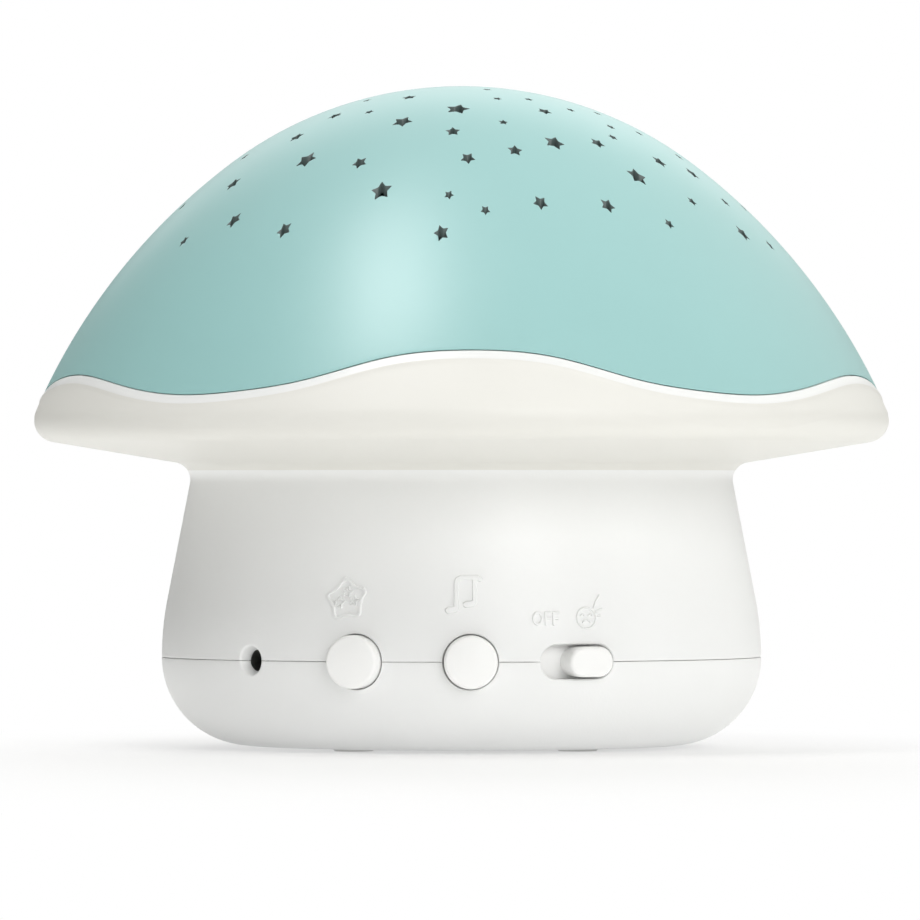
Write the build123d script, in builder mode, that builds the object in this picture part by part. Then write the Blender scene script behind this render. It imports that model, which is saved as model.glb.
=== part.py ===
"""Star night light: a mushroom-shaped projector with a perforated dome on a battery base.

Millimetres. +Z is up, the origin is on the table under the centre of the base, and the
controls face -Y. An azimuth is counted in degrees from -Y towards +X, a reach is a distance
from the upright axis, and an inset is a distance inwards from the outer skin.
"""

import os
from math import asin, atan2, cos, degrees, hypot, radians, sin, sqrt

from build123d import *

os.makedirs("parts", exist_ok=True)

# ---- Driving dimensions: outer skin ------------------------------------------------------
cap_top = 132.0
crown_radius = 76.5
crown_sweep = 37.0
flank_radius = 123.5
brim_radius = 85.4
brim_roll = 4.5
neck_radius = 54.2
neck_height = 56.2
neck_fillet = 3.5
stem_taper = 11.0
base_radius = 59.9
belly_radius = 60.0
split_height = 18.0
under_height = 0.4
neck_joint = 55.2

# ---- Driving dimensions: walls and clearances --------------------------------------------
dome_wall = 1.5
brim_wall = 2.6
stem_wall = 2.2
fit_gap = 0.15
slide_gap = 0.25
screw_gap = 0.05
split_relief = 0.3
cut_past = 0.5

# ---- Wavy seam between dome and brim: azimuth and height, one side -----------------------
wave = [
    (0, 78.1),
    (12, 76.6),
    (23, 72.4),
    (32, 70.4),
    (42, 69.7),
    (52, 71.1),
    (66, 73.8),
    (80, 72.8),
    (97, 70.4),
    (112, 73.4),
    (125, 75.2),
    (138, 73.0),
    (152, 70.5),
    (166, 73.6),
    (180, 77.0),
]
lip_height = 2.4
lip_round = 0.8
crease_width = 0.7
crease_depth = 0.4
tongue_rise = 2.6
tongue_root = 3.0
tongue_thickness = 1.3

# ---- Star perforations: reach, azimuth, tip radius and turn; the back repeats the front ----
large = 2.1
medium = 1.5
small = 0.95
star_waist = 0.5
stars = [
    (13.3, 21, small, 0),
    (21.1, -31, medium, 36),
    (22.3, -59, small, 10),
    (22.4, 17, small, 20),
    (22.4, 35, small, 30),
    (29.0, -3, 2.5, 20),
    (29.7, 32, medium, 12),
    (29.9, -39, small, 0),
    (31.1, -55, medium, 50),
    (28.4, 48, small, 24),
    (29.4, 65, small, 0),
    (34.8, -21, large, 0),
    (35.1, 12, small, 36),
    (35.8, 54, small, 14),
    (37.6, 68, small, 30),
    (38.7, -4, medium, 36),
    (39.5, -57, medium, 8),
    (39.8, 47, small, 0),
    (42.0, 38, medium, 20),
    (42.2, 24, large, 28),
    (44.7, 12, medium, 36),
    (44.8, 73, small, 5),
    (44.9, -75, small, 0),
    (46.8, -42, large, 62),
    (46.8, 55, medium, 40),
    (46.9, 0, medium, 5),
    (47.9, -26, medium, 50),
    (49.4, 66, medium, 20),
    (50.9, 41, large, 55),
    (52.2, -61, medium, 15),
    (54.7, -18, large, 32),
    (55.7, -4, small, 8),
    (56.0, 67, small, 0),
    (56.3, 52, small, 36),
    (56.6, -80, small, 12),
    (56.8, 80, small, 30),
    (57.3, 14, medium, 4),
    (57.7, 28, medium, 26),
    (58.9, 3, small, 2),
    (60.3, -49, medium, 45),
    (61.1, 40, small, 18),
    (62.4, -35, medium, 40),
    (62.4, 61, medium, 30),
    (63.2, -5, medium, 50),
    (63.9, -60, small, 10),
    (64.3, 70, small, 22),
]

# ---- Light deck and lamps ----------------------------------------------------------------
deck_height = 64.0
deck_radius = 77.0
deck_thickness = 2.0
post_top = 76.0
post_radius = 14.0
post_foot = 26.0
led_board_radius = 12.5
led_board_thickness = 1.2
led_radius = 2.5
led_body = 6.0
led_rim = 2.95
led_rim_height = 1.0
led_pitch = 4.6
vent_radius = 2.0

# ---- Housing screws, bosses and flanges --------------------------------------------------
screw_radius = 1.45
pilot_radius = screw_radius + screw_gap
through_radius = 1.7
head_radius = 2.7
head_height = 2.0
tip_gap = 0.6
boss_radius = 3.8
front_boss = (22.0, -31.0)
rear_boss = (34.5, 18.0)
stem_deck_thickness = 2.4
stem_deck_hole = 30.0
brim_flange_hole = 40.0
neck_screw_reach = 46.0
deck_screw_reach = 64.0
foot_radius = 4.2
foot_pocket = 1.6
foot_chamfer = 0.5
lip_ring_width = 1.2
lip_ring_drop = 1.6

# ---- Battery bay -------------------------------------------------------------------------
cell_radius = 7.1
cell_length = 49.2
nub_radius = 2.6
nub_length = 1.0
cell_pitch = 15.0
cell_edge = 0.6
cell_lift = 0.7
bay_headroom = 0.6
spring_length = 5.0
contact_thickness = 0.4
bay_centre = 5.0
bay_wall = 2.0
bay_clearance = 0.3
door_thickness = 1.6
door_ledge = 1.2
door_gap = 0.2
ear_radius = 5.5
ear_offset = 3.2
door_rib = (48.0, 1.2, 3.6)

# ---- Controls ----------------------------------------------------------------------------
jack_azimuth = -45.0
star_azimuth = -21.7
music_azimuth = 0.2
slider_azimuth = 20.7
button_radius = 5.2
button_gap = 0.22
button_proud = 2.9
button_flange = 6.8
flange_thickness = 1.2
flange_inset = 0.1
pocket_depth = 4.8
press_travel = 0.8
press_margin = 0.2
plunger_radius = 1.5
switch_body = (6.2, 4.5, 7.2)
board_top = 14.0
board_thickness = 1.6
board_radius = 50.5
board_front = -22.5
slot_length = 15.2
slot_height = 6.7
knob_length = 9.0
knob_height = 5.9
knob_proud = 2.6
slider_travel = 4.0
shutter = (20.6, 8.5, 1.2)
shutter_inset = 2.9
jack_bore = 2.05
jack_pin_radius = 0.65
jack_dish = 2.9
jack_inset = 1.2

# ---- Speaker and microphone --------------------------------------------------------------
speaker_height = 34.5
speaker_radius = 16.0
speaker_plane = 49.0
speaker_depth = 4.5
speaker_rim = 1.5
speaker_collar = 2.0
basket_wall = 0.8
cone_thickness = 0.5
cone_gap = 0.5
cap_radius = 7.0
cap_rise = 1.1
magnet_radius = 9.0
magnet_depth = 4.0
socket_wall = 1.6
grille_hole = 1.2
grille_pitch = 4.6
mic_azimuth = 152.0
mic_height = 32.0
mic_radius = 3.0
mic_depth = 2.7
mic_inset = 5.2
mic_hole = 0.75

# ---- Chip and capacitor on the control board ---------------------------------------------
chip = (8.0, 6.0, 1.6)
chip_corner = 0.5
chip_place = (0.0, -39.5)
capacitor_radius = 3.15
capacitor_height = 7.0
capacitor_edge = 0.5
capacitor_place = (32.0, -32.0)

# ---- Places worked out from the sizes above ----------------------------------------------
inner_wall = base_radius - stem_wall
flange_seat = inner_wall - flange_inset
boss_places = [
    (-front_boss[0], front_boss[1]),
    front_boss,
    (-rear_boss[0], rear_boss[1]),
    rear_boss,
]
foot_height = under_height + foot_pocket
bay_length = cell_length + nub_length + spring_length + 2 * contact_thickness
bay_width = 2 * cell_pitch + 2 * (cell_radius + bay_clearance)
door_top = under_height + door_thickness
cell_axis = door_top + cell_lift + cell_radius
bay_roof = cell_axis + cell_radius + bay_headroom
board_under = board_top - board_thickness
mic_seat = inner_wall - mic_inset
shutter_face = base_radius - shutter_inset
jack_face = inner_wall - jack_inset
jack_size = (9.0, 8.0, 12.0)
jack_nose = 2.7
jack_nose_length = 1.0
jack_tip = jack_face + jack_nose_length
board_posts = [(-38.5, -24.0), (0.0, -31.5), (38.5, -24.0)]
post_boss_radius = 3.2
housing_head_seat = 11.0
board_pilot_depth = 6.0
door_pilot_depth = 8.0
neck_pilot_depth = 8.0
led_screw_reach = 9.5
door_head_depth = 1.0
thumb_inset = 3.0
thumb_length = 12.0
thumb_width = 3.0
thumb_depth = 0.8
cross_long = 3.0
cross_wide = 0.7
cross_depth = 0.7
contact_width = 10.0
contact_tall = 11.0
contact_corner = 1.0
spring_wide = 4.5
spring_narrow = 3.0
spring_wire = 0.6
switch_front = 51.5
post_gap = 1.3
button_back = switch_front + press_travel + post_gap
plunger_seat = 1.9
plunger_back = switch_front - plunger_seat
plunger_hole = plunger_seat + press_travel + press_margin
button_face = base_radius + button_proud
button_crown = 0.5
button_post = 2.2
button_round = 0.8
flange_front = flange_seat - fit_gap / 2
shutter_back = shutter_face - slide_gap - shutter[2]
knob_round = 0.7
fork_width = 4.0
fork_height = 3.0
fork_depth = 1.6
lever_width = 2.0
lever_length = 5.0
slide_switch_front = 53.4
slide_body = (13.0, 5.5, 7.0)
slide_hole = 3.8
jack_depth = 9.0
jack_pin_length = 7.5
deck_pilot_depth = 3.6
housing_pilot_depth = 9.0
brim_boss_foot = neck_joint + brim_wall
ear_y = bay_centre - bay_width / 2 - door_ledge - ear_offset


def radial_plane(azimuth, reach, height):
    """A plane that faces outwards at an azimuth: x runs to the right, y runs up."""
    turn = radians(azimuth)
    return Plane(
        origin=(reach * sin(turn), -reach * cos(turn), height),
        x_dir=(cos(turn), sin(turn), 0),
        z_dir=(sin(turn), -cos(turn), 0),
    )


def section_plane(azimuth, height):
    """An upright plane through the axis: x is the reach, y is the height above height."""
    turn = radians(azimuth)
    return Plane(
        origin=(0, 0, height),
        x_dir=(sin(turn), -cos(turn), 0),
        z_dir=(-cos(turn), -sin(turn), 0),
    )


def radial_axis(azimuth, height):
    """The axis that points outwards at an azimuth."""
    turn = radians(azimuth)
    return Axis((0, 0, height), (sin(turn), -cos(turn), 0))


def polar(reach, azimuth):
    """Plan position of a reach and an azimuth."""
    return (reach * sin(radians(azimuth)), -reach * cos(radians(azimuth)))


# ---- Outer skin: centres of its arcs -----------------------------------------------------
crown_z = cap_top - crown_radius
flank_x = -(flank_radius - crown_radius) * sin(radians(crown_sweep))
flank_z = crown_z - (flank_radius - crown_radius) * cos(radians(crown_sweep))
roll_x = brim_radius - brim_roll
roll_z = flank_z + sqrt((flank_radius - brim_roll) ** 2 - (roll_x - flank_x) ** 2)
roll_start = degrees(atan2(roll_x - flank_x, roll_z - flank_z))
under_reach = hypot(roll_x - neck_radius, roll_z - neck_height)
under_slope = degrees(
    atan2(roll_z - neck_height, roll_x - neck_radius) - asin(brim_roll / under_reach)
)
belly_x = base_radius - belly_radius
belly_z = split_height + belly_radius * sin(radians(stem_taper))
stem_foot = belly_x + belly_radius * cos(radians(stem_taper))
stem_top = stem_foot - (neck_height - belly_z) * sin(radians(stem_taper)) / cos(
    radians(stem_taper)
)
foot_sweep = split_height - under_height


def skin_section(inset=0.0):
    """Half of the whole outline of the light, set in from its skin by inset."""
    with BuildSketch(Plane.XZ) as section:
        with BuildLine():
            crown = CenterArc((0, crown_z), crown_radius, 90, -crown_sweep)
            flank = CenterArc(
                (flank_x, flank_z),
                flank_radius,
                90 - crown_sweep,
                crown_sweep - roll_start,
            )
            roll = CenterArc(
                (roll_x, roll_z),
                brim_roll,
                90 - roll_start,
                roll_start - 180 + under_slope,
            )
            corner = Line(roll @ 1, (stem_top, neck_height))
            stem = Line(corner @ 1, (stem_foot, belly_z))
            belly = CenterArc((belly_x, split_height), belly_radius, stem_taper, -stem_taper)
            foot = CenterArc(
                (base_radius - foot_sweep, split_height), foot_sweep, 0, -90
            )
            Line(foot @ 1, (0, under_height))
            mirror(about=Plane.YZ)
        make_face()
        neck = section.vertices().filter_by(lambda v: abs(v.Y - neck_height) < 0.01)
        fillet(neck, radius=neck_fillet)
        if inset:
            offset(amount=-inset)
        with Locations((-2 * brim_radius, cap_top / 2)):
            Rectangle(4 * brim_radius, 3 * cap_top, mode=Mode.SUBTRACT)
    return section.sketch


def door_outline(gap):
    """Battery door: a rectangle with a rounded screw ear, smaller by gap all round."""
    with BuildSketch() as outline:
        with Locations((0, bay_centre)):
            Rectangle(bay_length + 2 * door_ledge, bay_width + 2 * door_ledge)
        with Locations((0, ear_y)):
            Circle(ear_radius)
        if gap:
            offset(amount=-gap)
    return outline.sketch


# ---- Wavy seam ---------------------------------------------------------------------------
def wave_curve(reach, lift):
    """The closed wave at one reach, raised by lift."""
    there = [(*polar(reach, azimuth), height + lift) for azimuth, height in wave]
    back = [(-x, y, height) for x, y, height in there[-2:0:-1]]
    return Spline(*there, *back, periodic=True)


def wave_band(lift=0.0):
    """A ring-shaped sheet whose height follows the wave, level along every reach."""
    inner = wave_curve(brim_radius / 2, lift)
    outer = wave_curve(brim_radius * 1.2, lift)
    return Face.make_surface_from_curves(inner.edge(), outer.edge())


seam_sheet = wave_band()

# ---- Dome --------------------------------------------------------------------------------


def star_outline(tip_radius):
    """Five-pointed star with one point towards -Y."""
    corners = []
    for step in range(10):
        reach = tip_radius * (1.0 if step % 2 == 0 else star_waist)
        corners.append(polar(reach, step * 36.0))
    return corners


with BuildPart() as dome_shell:
    add(skin_section())
    revolve(axis=Axis.Z)
    add(skin_section(dome_wall))
    revolve(axis=Axis.Z, mode=Mode.SUBTRACT)
    split(bisect_by=Plane.XY.offset(neck_joint), keep=Keep.TOP)
    extrude(seam_sheet, amount=cap_top, dir=(0, 0, -1), mode=Mode.SUBTRACT)
    with BuildSketch(Plane.XY.offset(roll_z)) as star_field:
        for half_turn in (0, 180):
            for reach, azimuth, tip_radius, turn in stars:
                with Locations(Location((*polar(reach, azimuth + half_turn), 0), (0, 0, turn))):
                    Polygon(*star_outline(tip_radius), align=None)
    extrude(amount=cap_top, mode=Mode.SUBTRACT)
dome_shell.part.label = "dome_shell"
export_step(dome_shell.part, "parts/dome_shell.step")

# ---- Brim: wavy upper edge, rolled rim, sloping underside and neck flange ----------------
def skin_ring(outer_inset, inner_inset, low, high):
    """The part of a skin between two insets that lies between two heights about the wave."""
    with BuildPart() as ring:
        add(skin_section(outer_inset))
        revolve(axis=Axis.Z)
        add(skin_section(inner_inset))
        revolve(axis=Axis.Z, mode=Mode.SUBTRACT)
        split(bisect_by=Plane.XY.offset(neck_joint + brim_wall), keep=Keep.TOP)
        split(bisect_by=Plane.XY.offset(crown_limit), keep=Keep.BOTTOM)
        extrude(wave_band(high), amount=cap_top, dir=(0, 0, 1), mode=Mode.SUBTRACT)
        extrude(wave_band(low), amount=cap_top, dir=(0, 0, -1), mode=Mode.SUBTRACT)
    return ring.part


crown_limit = cap_top - crown_radius / 2
tongue_inset = dome_wall + fit_gap
tongue = skin_ring(tongue_inset, tongue_inset + tongue_thickness, -tongue_root, tongue_rise)
crease = skin_ring(-crease_depth, crease_depth, -lip_height - crease_width, -lip_height)

with BuildPart() as brim:
    add(skin_section())
    revolve(axis=Axis.Z)
    add(skin_section(brim_wall))
    revolve(axis=Axis.Z, mode=Mode.SUBTRACT)
    split(bisect_by=Plane.XY.offset(neck_joint), keep=Keep.TOP)
    split(bisect_by=Plane.XY.offset(crown_limit), keep=Keep.BOTTOM)
    extrude(seam_sheet, amount=cap_top, dir=(0, 0, 1), mode=Mode.SUBTRACT)
    wavy_edges = brim.edges().filter_by(lambda e: e.bounding_box().size.Z > lip_height)
    fillet(wavy_edges.sort_by(lambda e: e.length)[-1], radius=lip_round)
    add(crease, mode=Mode.SUBTRACT)
    add(tongue)
    with BuildSketch(Plane.XY.offset(neck_joint)):
        Circle(neck_radius - brim_wall / 2)
        Circle(brim_flange_hole, mode=Mode.SUBTRACT)
    extrude(amount=brim_wall)
    with BuildSketch(Plane.XY.offset(neck_joint)):
        with PolarLocations(neck_screw_reach, 4, start_angle=45):
            Circle(boss_radius)
    extrude(amount=deck_height - neck_joint)
    with BuildSketch(Plane.XY.offset(brim_boss_foot)):
        with PolarLocations(deck_screw_reach, 4):
            Circle(boss_radius)
    extrude(amount=deck_height - brim_boss_foot)
    with BuildSketch(Plane.XY.offset(neck_joint)):
        with PolarLocations(neck_screw_reach, 4, start_angle=45):
            Circle(pilot_radius)
    extrude(amount=neck_pilot_depth, mode=Mode.SUBTRACT)
    with BuildSketch(Plane.XY.offset(deck_height)):
        with PolarLocations(deck_screw_reach, 4):
            Circle(pilot_radius)
    extrude(amount=-deck_pilot_depth, mode=Mode.SUBTRACT)
brim.part.label = "brim"
export_step(brim.part, "parts/brim.step")

# ---- Stem shell: tapered wall, top deck, screw columns, grille and control openings ------
with BuildPart() as stem_shell:
    add(skin_section())
    revolve(axis=Axis.Z)
    add(skin_section(stem_wall))
    revolve(axis=Axis.Z, mode=Mode.SUBTRACT)
    split(bisect_by=Plane.XY.offset(neck_joint), keep=Keep.BOTTOM)
    split(bisect_by=Plane.XY.offset(split_height), keep=Keep.TOP)
    with BuildSketch(Plane.XY.offset(neck_joint)):
        Circle(neck_radius - stem_wall / 2)
        Circle(stem_deck_hole, mode=Mode.SUBTRACT)
    extrude(amount=-stem_deck_thickness)
    with BuildSketch(Plane.XY.offset(neck_joint)):
        Circle(brim_flange_hole - fit_gap)
        Circle(brim_flange_hole - fit_gap - stem_deck_thickness, mode=Mode.SUBTRACT)
    extrude(amount=brim_wall)
    with BuildSketch(Plane.XY.offset(neck_joint)):
        with PolarLocations(neck_screw_reach, 4, start_angle=45):
            Circle(through_radius)
    extrude(amount=-stem_deck_thickness, mode=Mode.SUBTRACT)
    with BuildSketch(Plane.XY.offset(split_height)):
        with Locations(*boss_places):
            Circle(boss_radius)
    extrude(amount=neck_joint - split_height - stem_deck_thickness / 2)
    with BuildSketch(Plane.XY.offset(split_height)):
        with Locations(*boss_places):
            Circle(pilot_radius)
    extrude(amount=housing_pilot_depth, mode=Mode.SUBTRACT)
    with BuildSketch(section_plane(0, 0)) as lip_section:
        with Locations((inner_wall - fit_gap, split_height - lip_ring_drop)):
            Rectangle(lip_ring_width, 2 * lip_ring_drop, align=(Align.MAX, Align.MIN))
        with Locations((inner_wall - fit_gap, split_height)):
            Rectangle(2 * fit_gap, lip_ring_drop, align=(Align.MIN, Align.MIN))
    revolve(axis=Axis.Z)
    with BuildSketch(radial_plane(180, speaker_plane, speaker_height)):
        Circle(speaker_radius + fit_gap + socket_wall)
        Circle(speaker_radius - speaker_rim, mode=Mode.SUBTRACT)
    extrude(until=Until.NEXT)
    with BuildSketch(radial_plane(180, speaker_plane, speaker_height)):
        Circle(speaker_radius + fit_gap + socket_wall)
        Circle(speaker_radius + fit_gap, mode=Mode.SUBTRACT)
    extrude(amount=-speaker_collar)
    with BuildSketch(radial_plane(180, speaker_plane, speaker_height)):
        Circle(grille_hole)
        for ring in (1, 2):
            with PolarLocations(ring * grille_pitch, 6 * ring):
                Circle(grille_hole)
    extrude(amount=base_radius, mode=Mode.SUBTRACT)
    with BuildSketch(radial_plane(mic_azimuth, mic_seat, mic_height)):
        Circle(mic_radius + socket_wall)
    extrude(until=Until.NEXT)
    with BuildSketch(radial_plane(mic_azimuth, mic_seat, mic_height)):
        Circle(mic_radius + fit_gap)
    extrude(amount=mic_depth, mode=Mode.SUBTRACT)
    with BuildSketch(radial_plane(mic_azimuth, mic_seat, mic_height)):
        Circle(mic_hole)
    extrude(amount=base_radius, mode=Mode.SUBTRACT)


def cut_controls(half):
    """Open the split line of one housing half for the buttons, the slider and the jack."""
    with BuildPart() as opened:
        add(half)
        with BuildSketch(section_plane(0, split_height)):
            Polygon(
                (base_radius - split_relief, 0),
                (base_radius + split_relief, 2 * split_relief),
                (base_radius + split_relief, -2 * split_relief),
                align=None,
            )
        revolve(axis=Axis.Z, mode=Mode.SUBTRACT)
        for azimuth in (star_azimuth, music_azimuth):
            with BuildSketch(radial_plane(azimuth, flange_seat, split_height)):
                Circle(button_flange + slide_gap)
            extrude(amount=-pocket_depth, mode=Mode.SUBTRACT)
            with BuildSketch(radial_plane(azimuth, flange_seat, split_height)):
                Circle(button_radius + button_gap)
            extrude(amount=base_radius, mode=Mode.SUBTRACT)
        with BuildSketch(radial_plane(slider_azimuth, shutter_face + slide_gap / 2, split_height)):
            Rectangle(shutter[0] + slider_travel + 2 * slide_gap, shutter[1] + 2 * slide_gap)
        extrude(amount=-pocket_depth, mode=Mode.SUBTRACT)
        with BuildSketch(radial_plane(slider_azimuth, shutter_face, split_height)):
            SlotOverall(slot_length, slot_height)
        extrude(amount=base_radius, mode=Mode.SUBTRACT)
        with BuildSketch(radial_plane(jack_azimuth, jack_face, split_height)):
            Rectangle(jack_size[0] + 2 * fit_gap, jack_size[1] + 2 * fit_gap)
        extrude(amount=-jack_size[2], mode=Mode.SUBTRACT)
        with BuildSketch(section_plane(jack_azimuth, split_height)):
            Polygon(
                (jack_face - cut_past, 0),
                (jack_face - cut_past, jack_nose + fit_gap / 2),
                (jack_tip + fit_gap / 2, jack_nose + fit_gap / 2),
                (jack_tip + fit_gap / 2, jack_bore + fit_gap / 2),
                (inner_wall, jack_bore + fit_gap / 2),
                (base_radius, jack_dish),
                (base_radius + cut_past, jack_dish),
                (base_radius + cut_past, 0),
                align=None,
            )
        revolve(axis=radial_axis(jack_azimuth, split_height), mode=Mode.SUBTRACT)
    return opened.part


stem_opened = cut_controls(stem_shell.part)
stem_opened.label = "stem_shell"
export_step(stem_opened, "parts/stem_shell.step")

# ---- Base cup: rounded bowl, battery bay, screw wells and board posts --------------------
with BuildPart() as base_bowl:
    add(skin_section())
    revolve(axis=Axis.Z)
    add(skin_section(stem_wall))
    revolve(axis=Axis.Z, mode=Mode.SUBTRACT)
    split(bisect_by=Plane.XY.offset(split_height), keep=Keep.BOTTOM)
    with BuildSketch(Plane.XY.offset(door_top)):
        with Locations((0, bay_centre)):
            Rectangle(bay_length + 2 * bay_wall, bay_width + 2 * bay_wall)
    extrude(amount=bay_roof + bay_wall - door_top)
    with BuildSketch(Plane.XY.offset(door_top)):
        with Locations(*boss_places):
            Circle(boss_radius)
    extrude(amount=split_height - door_top)
    with BuildSketch(Plane.XY.offset(door_top)):
        with Locations(*board_posts):
            Circle(post_boss_radius)
        with Locations((0, ear_y)):
            Circle(post_boss_radius)
    extrude(amount=board_under - door_top)
    with BuildSketch(Plane.XY.offset(under_height)):
        add(door_outline(0))
    extrude(amount=door_thickness, mode=Mode.SUBTRACT)
    with BuildSketch(Plane.XY.offset(under_height)):
        with Locations((0, bay_centre)):
            Rectangle(bay_length, bay_width)
    extrude(amount=bay_roof - under_height, mode=Mode.SUBTRACT)
    with BuildSketch(Plane.XY.offset(under_height)):
        with Locations(*boss_places):
            Circle(foot_radius + fit_gap)
    extrude(amount=foot_pocket, mode=Mode.SUBTRACT)
    with BuildSketch(Plane.XY.offset(under_height)):
        with Locations(*boss_places):
            Circle(head_radius + slide_gap)
    extrude(amount=housing_head_seat - under_height, mode=Mode.SUBTRACT)
    with BuildSketch(Plane.XY.offset(under_height)):
        with Locations(*boss_places):
            Circle(through_radius)
    extrude(amount=split_height, mode=Mode.SUBTRACT)
    with BuildSketch(Plane.XY.offset(board_under)):
        with Locations(*board_posts):
            Circle(pilot_radius)
    extrude(amount=-board_pilot_depth, mode=Mode.SUBTRACT)
    with BuildSketch(Plane.XY.offset(under_height)):
        with Locations((0, ear_y)):
            Circle(pilot_radius)
    extrude(amount=door_pilot_depth, mode=Mode.SUBTRACT)

base_cup = cut_controls(base_bowl.part)
base_cup.label = "base_cup"
export_step(base_cup, "parts/base_cup.step")

# ---- Battery door ------------------------------------------------------------------------
with BuildPart() as battery_door:
    with BuildSketch(Plane.XY.offset(under_height)):
        add(door_outline(door_gap))
        with Locations((0, ear_y)):
            Circle(through_radius, mode=Mode.SUBTRACT)
    extrude(amount=door_thickness)
    with BuildSketch(Plane.XY.offset(under_height)):
        with Locations((0, ear_y)):
            Circle(head_radius + slide_gap)
    extrude(amount=door_head_depth, mode=Mode.SUBTRACT)
    with BuildSketch(Plane.XY.offset(door_top)):
        with Locations((0, bay_centre - cell_pitch / 2), (0, bay_centre + cell_pitch / 2)):
            Rectangle(door_rib[0], door_rib[1])
    extrude(amount=door_rib[2])
    with BuildSketch(Plane.XY.offset(under_height)):
        with Locations((0, bay_centre + bay_width / 2 - thumb_inset)):
            SlotOverall(thumb_length, thumb_width)
    extrude(amount=thumb_depth, mode=Mode.SUBTRACT)
battery_door.part.label = "battery_door"
export_step(battery_door.part, "parts/battery_door.step")


# ---- Screws ------------------------------------------------------------------------------
def pan_screw(places, seat, length, up, head=head_height):
    """Pan-head screws at plan places: heads rest on seat, shanks run up or down from it."""
    with BuildPart() as screws:
        with BuildSketch(Plane.XY.offset(seat)):
            with Locations(*places):
                Circle(head_radius)
        extrude(amount=-up * head)
        with BuildSketch(Plane.XY.offset(seat)):
            with Locations(*places):
                Circle(screw_radius)
        extrude(amount=up * length)
        with BuildSketch(Plane.XY.offset(seat - up * head)):
            with Locations(*places):
                Rectangle(cross_long, cross_wide)
                Rectangle(cross_wide, cross_long)
        extrude(amount=up * cross_depth, mode=Mode.SUBTRACT)
    return screws.part


screw_sets = {
    "housing_screws": (
        boss_places,
        housing_head_seat,
        split_height - housing_head_seat + housing_pilot_depth - tip_gap,
        1,
    ),
    "neck_screws": (
        [polar(neck_screw_reach, 45 + quarter * 90) for quarter in range(4)],
        neck_joint - stem_deck_thickness,
        stem_deck_thickness + neck_pilot_depth - tip_gap,
        1,
    ),
    "deck_screws": (
        [polar(deck_screw_reach, quarter * 90) for quarter in range(4)],
        deck_height + deck_thickness,
        deck_thickness + deck_pilot_depth - tip_gap,
        -1,
    ),
    "board_screws": (
        board_posts,
        board_top,
        board_thickness + board_pilot_depth - tip_gap,
        -1,
    ),
    "led_board_screws": (
        [(-led_screw_reach, 0), (led_screw_reach, 0)],
        post_top + led_board_thickness,
        led_board_thickness + deck_thickness - tip_gap,
        -1,
    ),
    "door_screw": (
        [(0, ear_y)],
        under_height + door_head_depth,
        door_pilot_depth - door_head_depth - tip_gap,
        1,
        door_head_depth,
    ),
}
for screw_name, sizes in screw_sets.items():
    screw_part = pan_screw(*sizes)
    screw_part.label = screw_name
    export_step(screw_part, f"parts/{screw_name}.step")

# ---- Rubber feet -------------------------------------------------------------------------
with BuildPart() as rubber_feet:
    with BuildSketch():
        with Locations(*boss_places):
            Circle(foot_radius)
    extrude(amount=foot_height)
    chamfer(rubber_feet.edges().group_by(Axis.Z)[0], length=foot_chamfer)
rubber_feet.part.label = "rubber_feet"
export_step(rubber_feet.part, "parts/rubber_feet.step")

# ---- Cells and contacts ------------------------------------------------------------------
positive_end = bay_length / 2 - contact_thickness
for place, cell_name in enumerate(("front", "middle", "rear")):
    facing = 1 if place != 1 else -1
    cell_plane = Plane(
        origin=(facing * positive_end, bay_centre + (place - 1) * cell_pitch, cell_axis),
        x_dir=(0, 1, 0),
        z_dir=(-facing, 0, 0),
    )
    with BuildPart() as battery_cell:
        with BuildSketch(cell_plane):
            Circle(nub_radius)
        extrude(amount=nub_length)
        with BuildSketch(cell_plane.offset(nub_length)):
            Circle(cell_radius)
        extrude(amount=cell_length)
        rims = battery_cell.edges().filter_by(GeomType.CIRCLE).group_by(SortBy.RADIUS)[-1]
        chamfer(rims, length=cell_edge)
    battery_cell.part.label = f"battery_cell_{cell_name}"
    export_step(battery_cell.part, f"parts/battery_cell_{cell_name}.step")

with BuildPart() as contact_plates:
    for side in (-1, 1):
        with BuildSketch(Plane.YZ.offset(side * (bay_length / 2 - contact_thickness / 2))):
            with Locations(*[(bay_centre + step * cell_pitch, cell_axis) for step in (-1, 0, 1)]):
                RectangleRounded(contact_width, contact_tall, contact_corner)
        extrude(amount=contact_thickness / 2, both=True)
contact_plates.part.label = "contact_plates"
export_step(contact_plates.part, "parts/contact_plates.step")

with BuildPart() as contact_springs:
    for step in (-1, 0, 1):
        facing = 1 if step == 0 else -1
        spring_plane = Plane(
            origin=(facing * positive_end, bay_centre + step * cell_pitch, cell_axis),
            x_dir=(0, 1, 0),
            z_dir=(-facing, 0, 0),
        )
        with BuildSketch(spring_plane) as spring_foot:
            Circle(spring_wide)
        with BuildSketch(spring_plane.offset(spring_length)) as spring_tip:
            Circle(spring_narrow)
        loft()
        with BuildSketch(spring_plane) as spring_hollow_foot:
            Circle(spring_wide - spring_wire)
        with BuildSketch(spring_plane.offset(spring_length)) as spring_hollow_tip:
            Circle(spring_narrow - spring_wire)
        loft(mode=Mode.SUBTRACT)
contact_springs.part.label = "contact_springs"
export_step(contact_springs.part, "parts/contact_springs.step")

# ---- Control board with its switches, jack, chip, capacitor ------------------------------
with BuildPart() as control_board:
    with BuildSketch(Plane.XY.offset(board_under)):
        Circle(board_radius)
        with Locations((0, board_front)):
            Rectangle(
                2 * board_radius,
                2 * board_radius,
                align=(Align.CENTER, Align.MIN),
                mode=Mode.SUBTRACT,
            )
        with Locations(*boss_places):
            Circle(boss_radius + slide_gap * 2, mode=Mode.SUBTRACT)
        with Locations(*board_posts):
            Circle(through_radius, mode=Mode.SUBTRACT)
    extrude(amount=board_thickness)
control_board.part.label = "control_board"
export_step(control_board.part, "parts/control_board.step")


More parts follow.
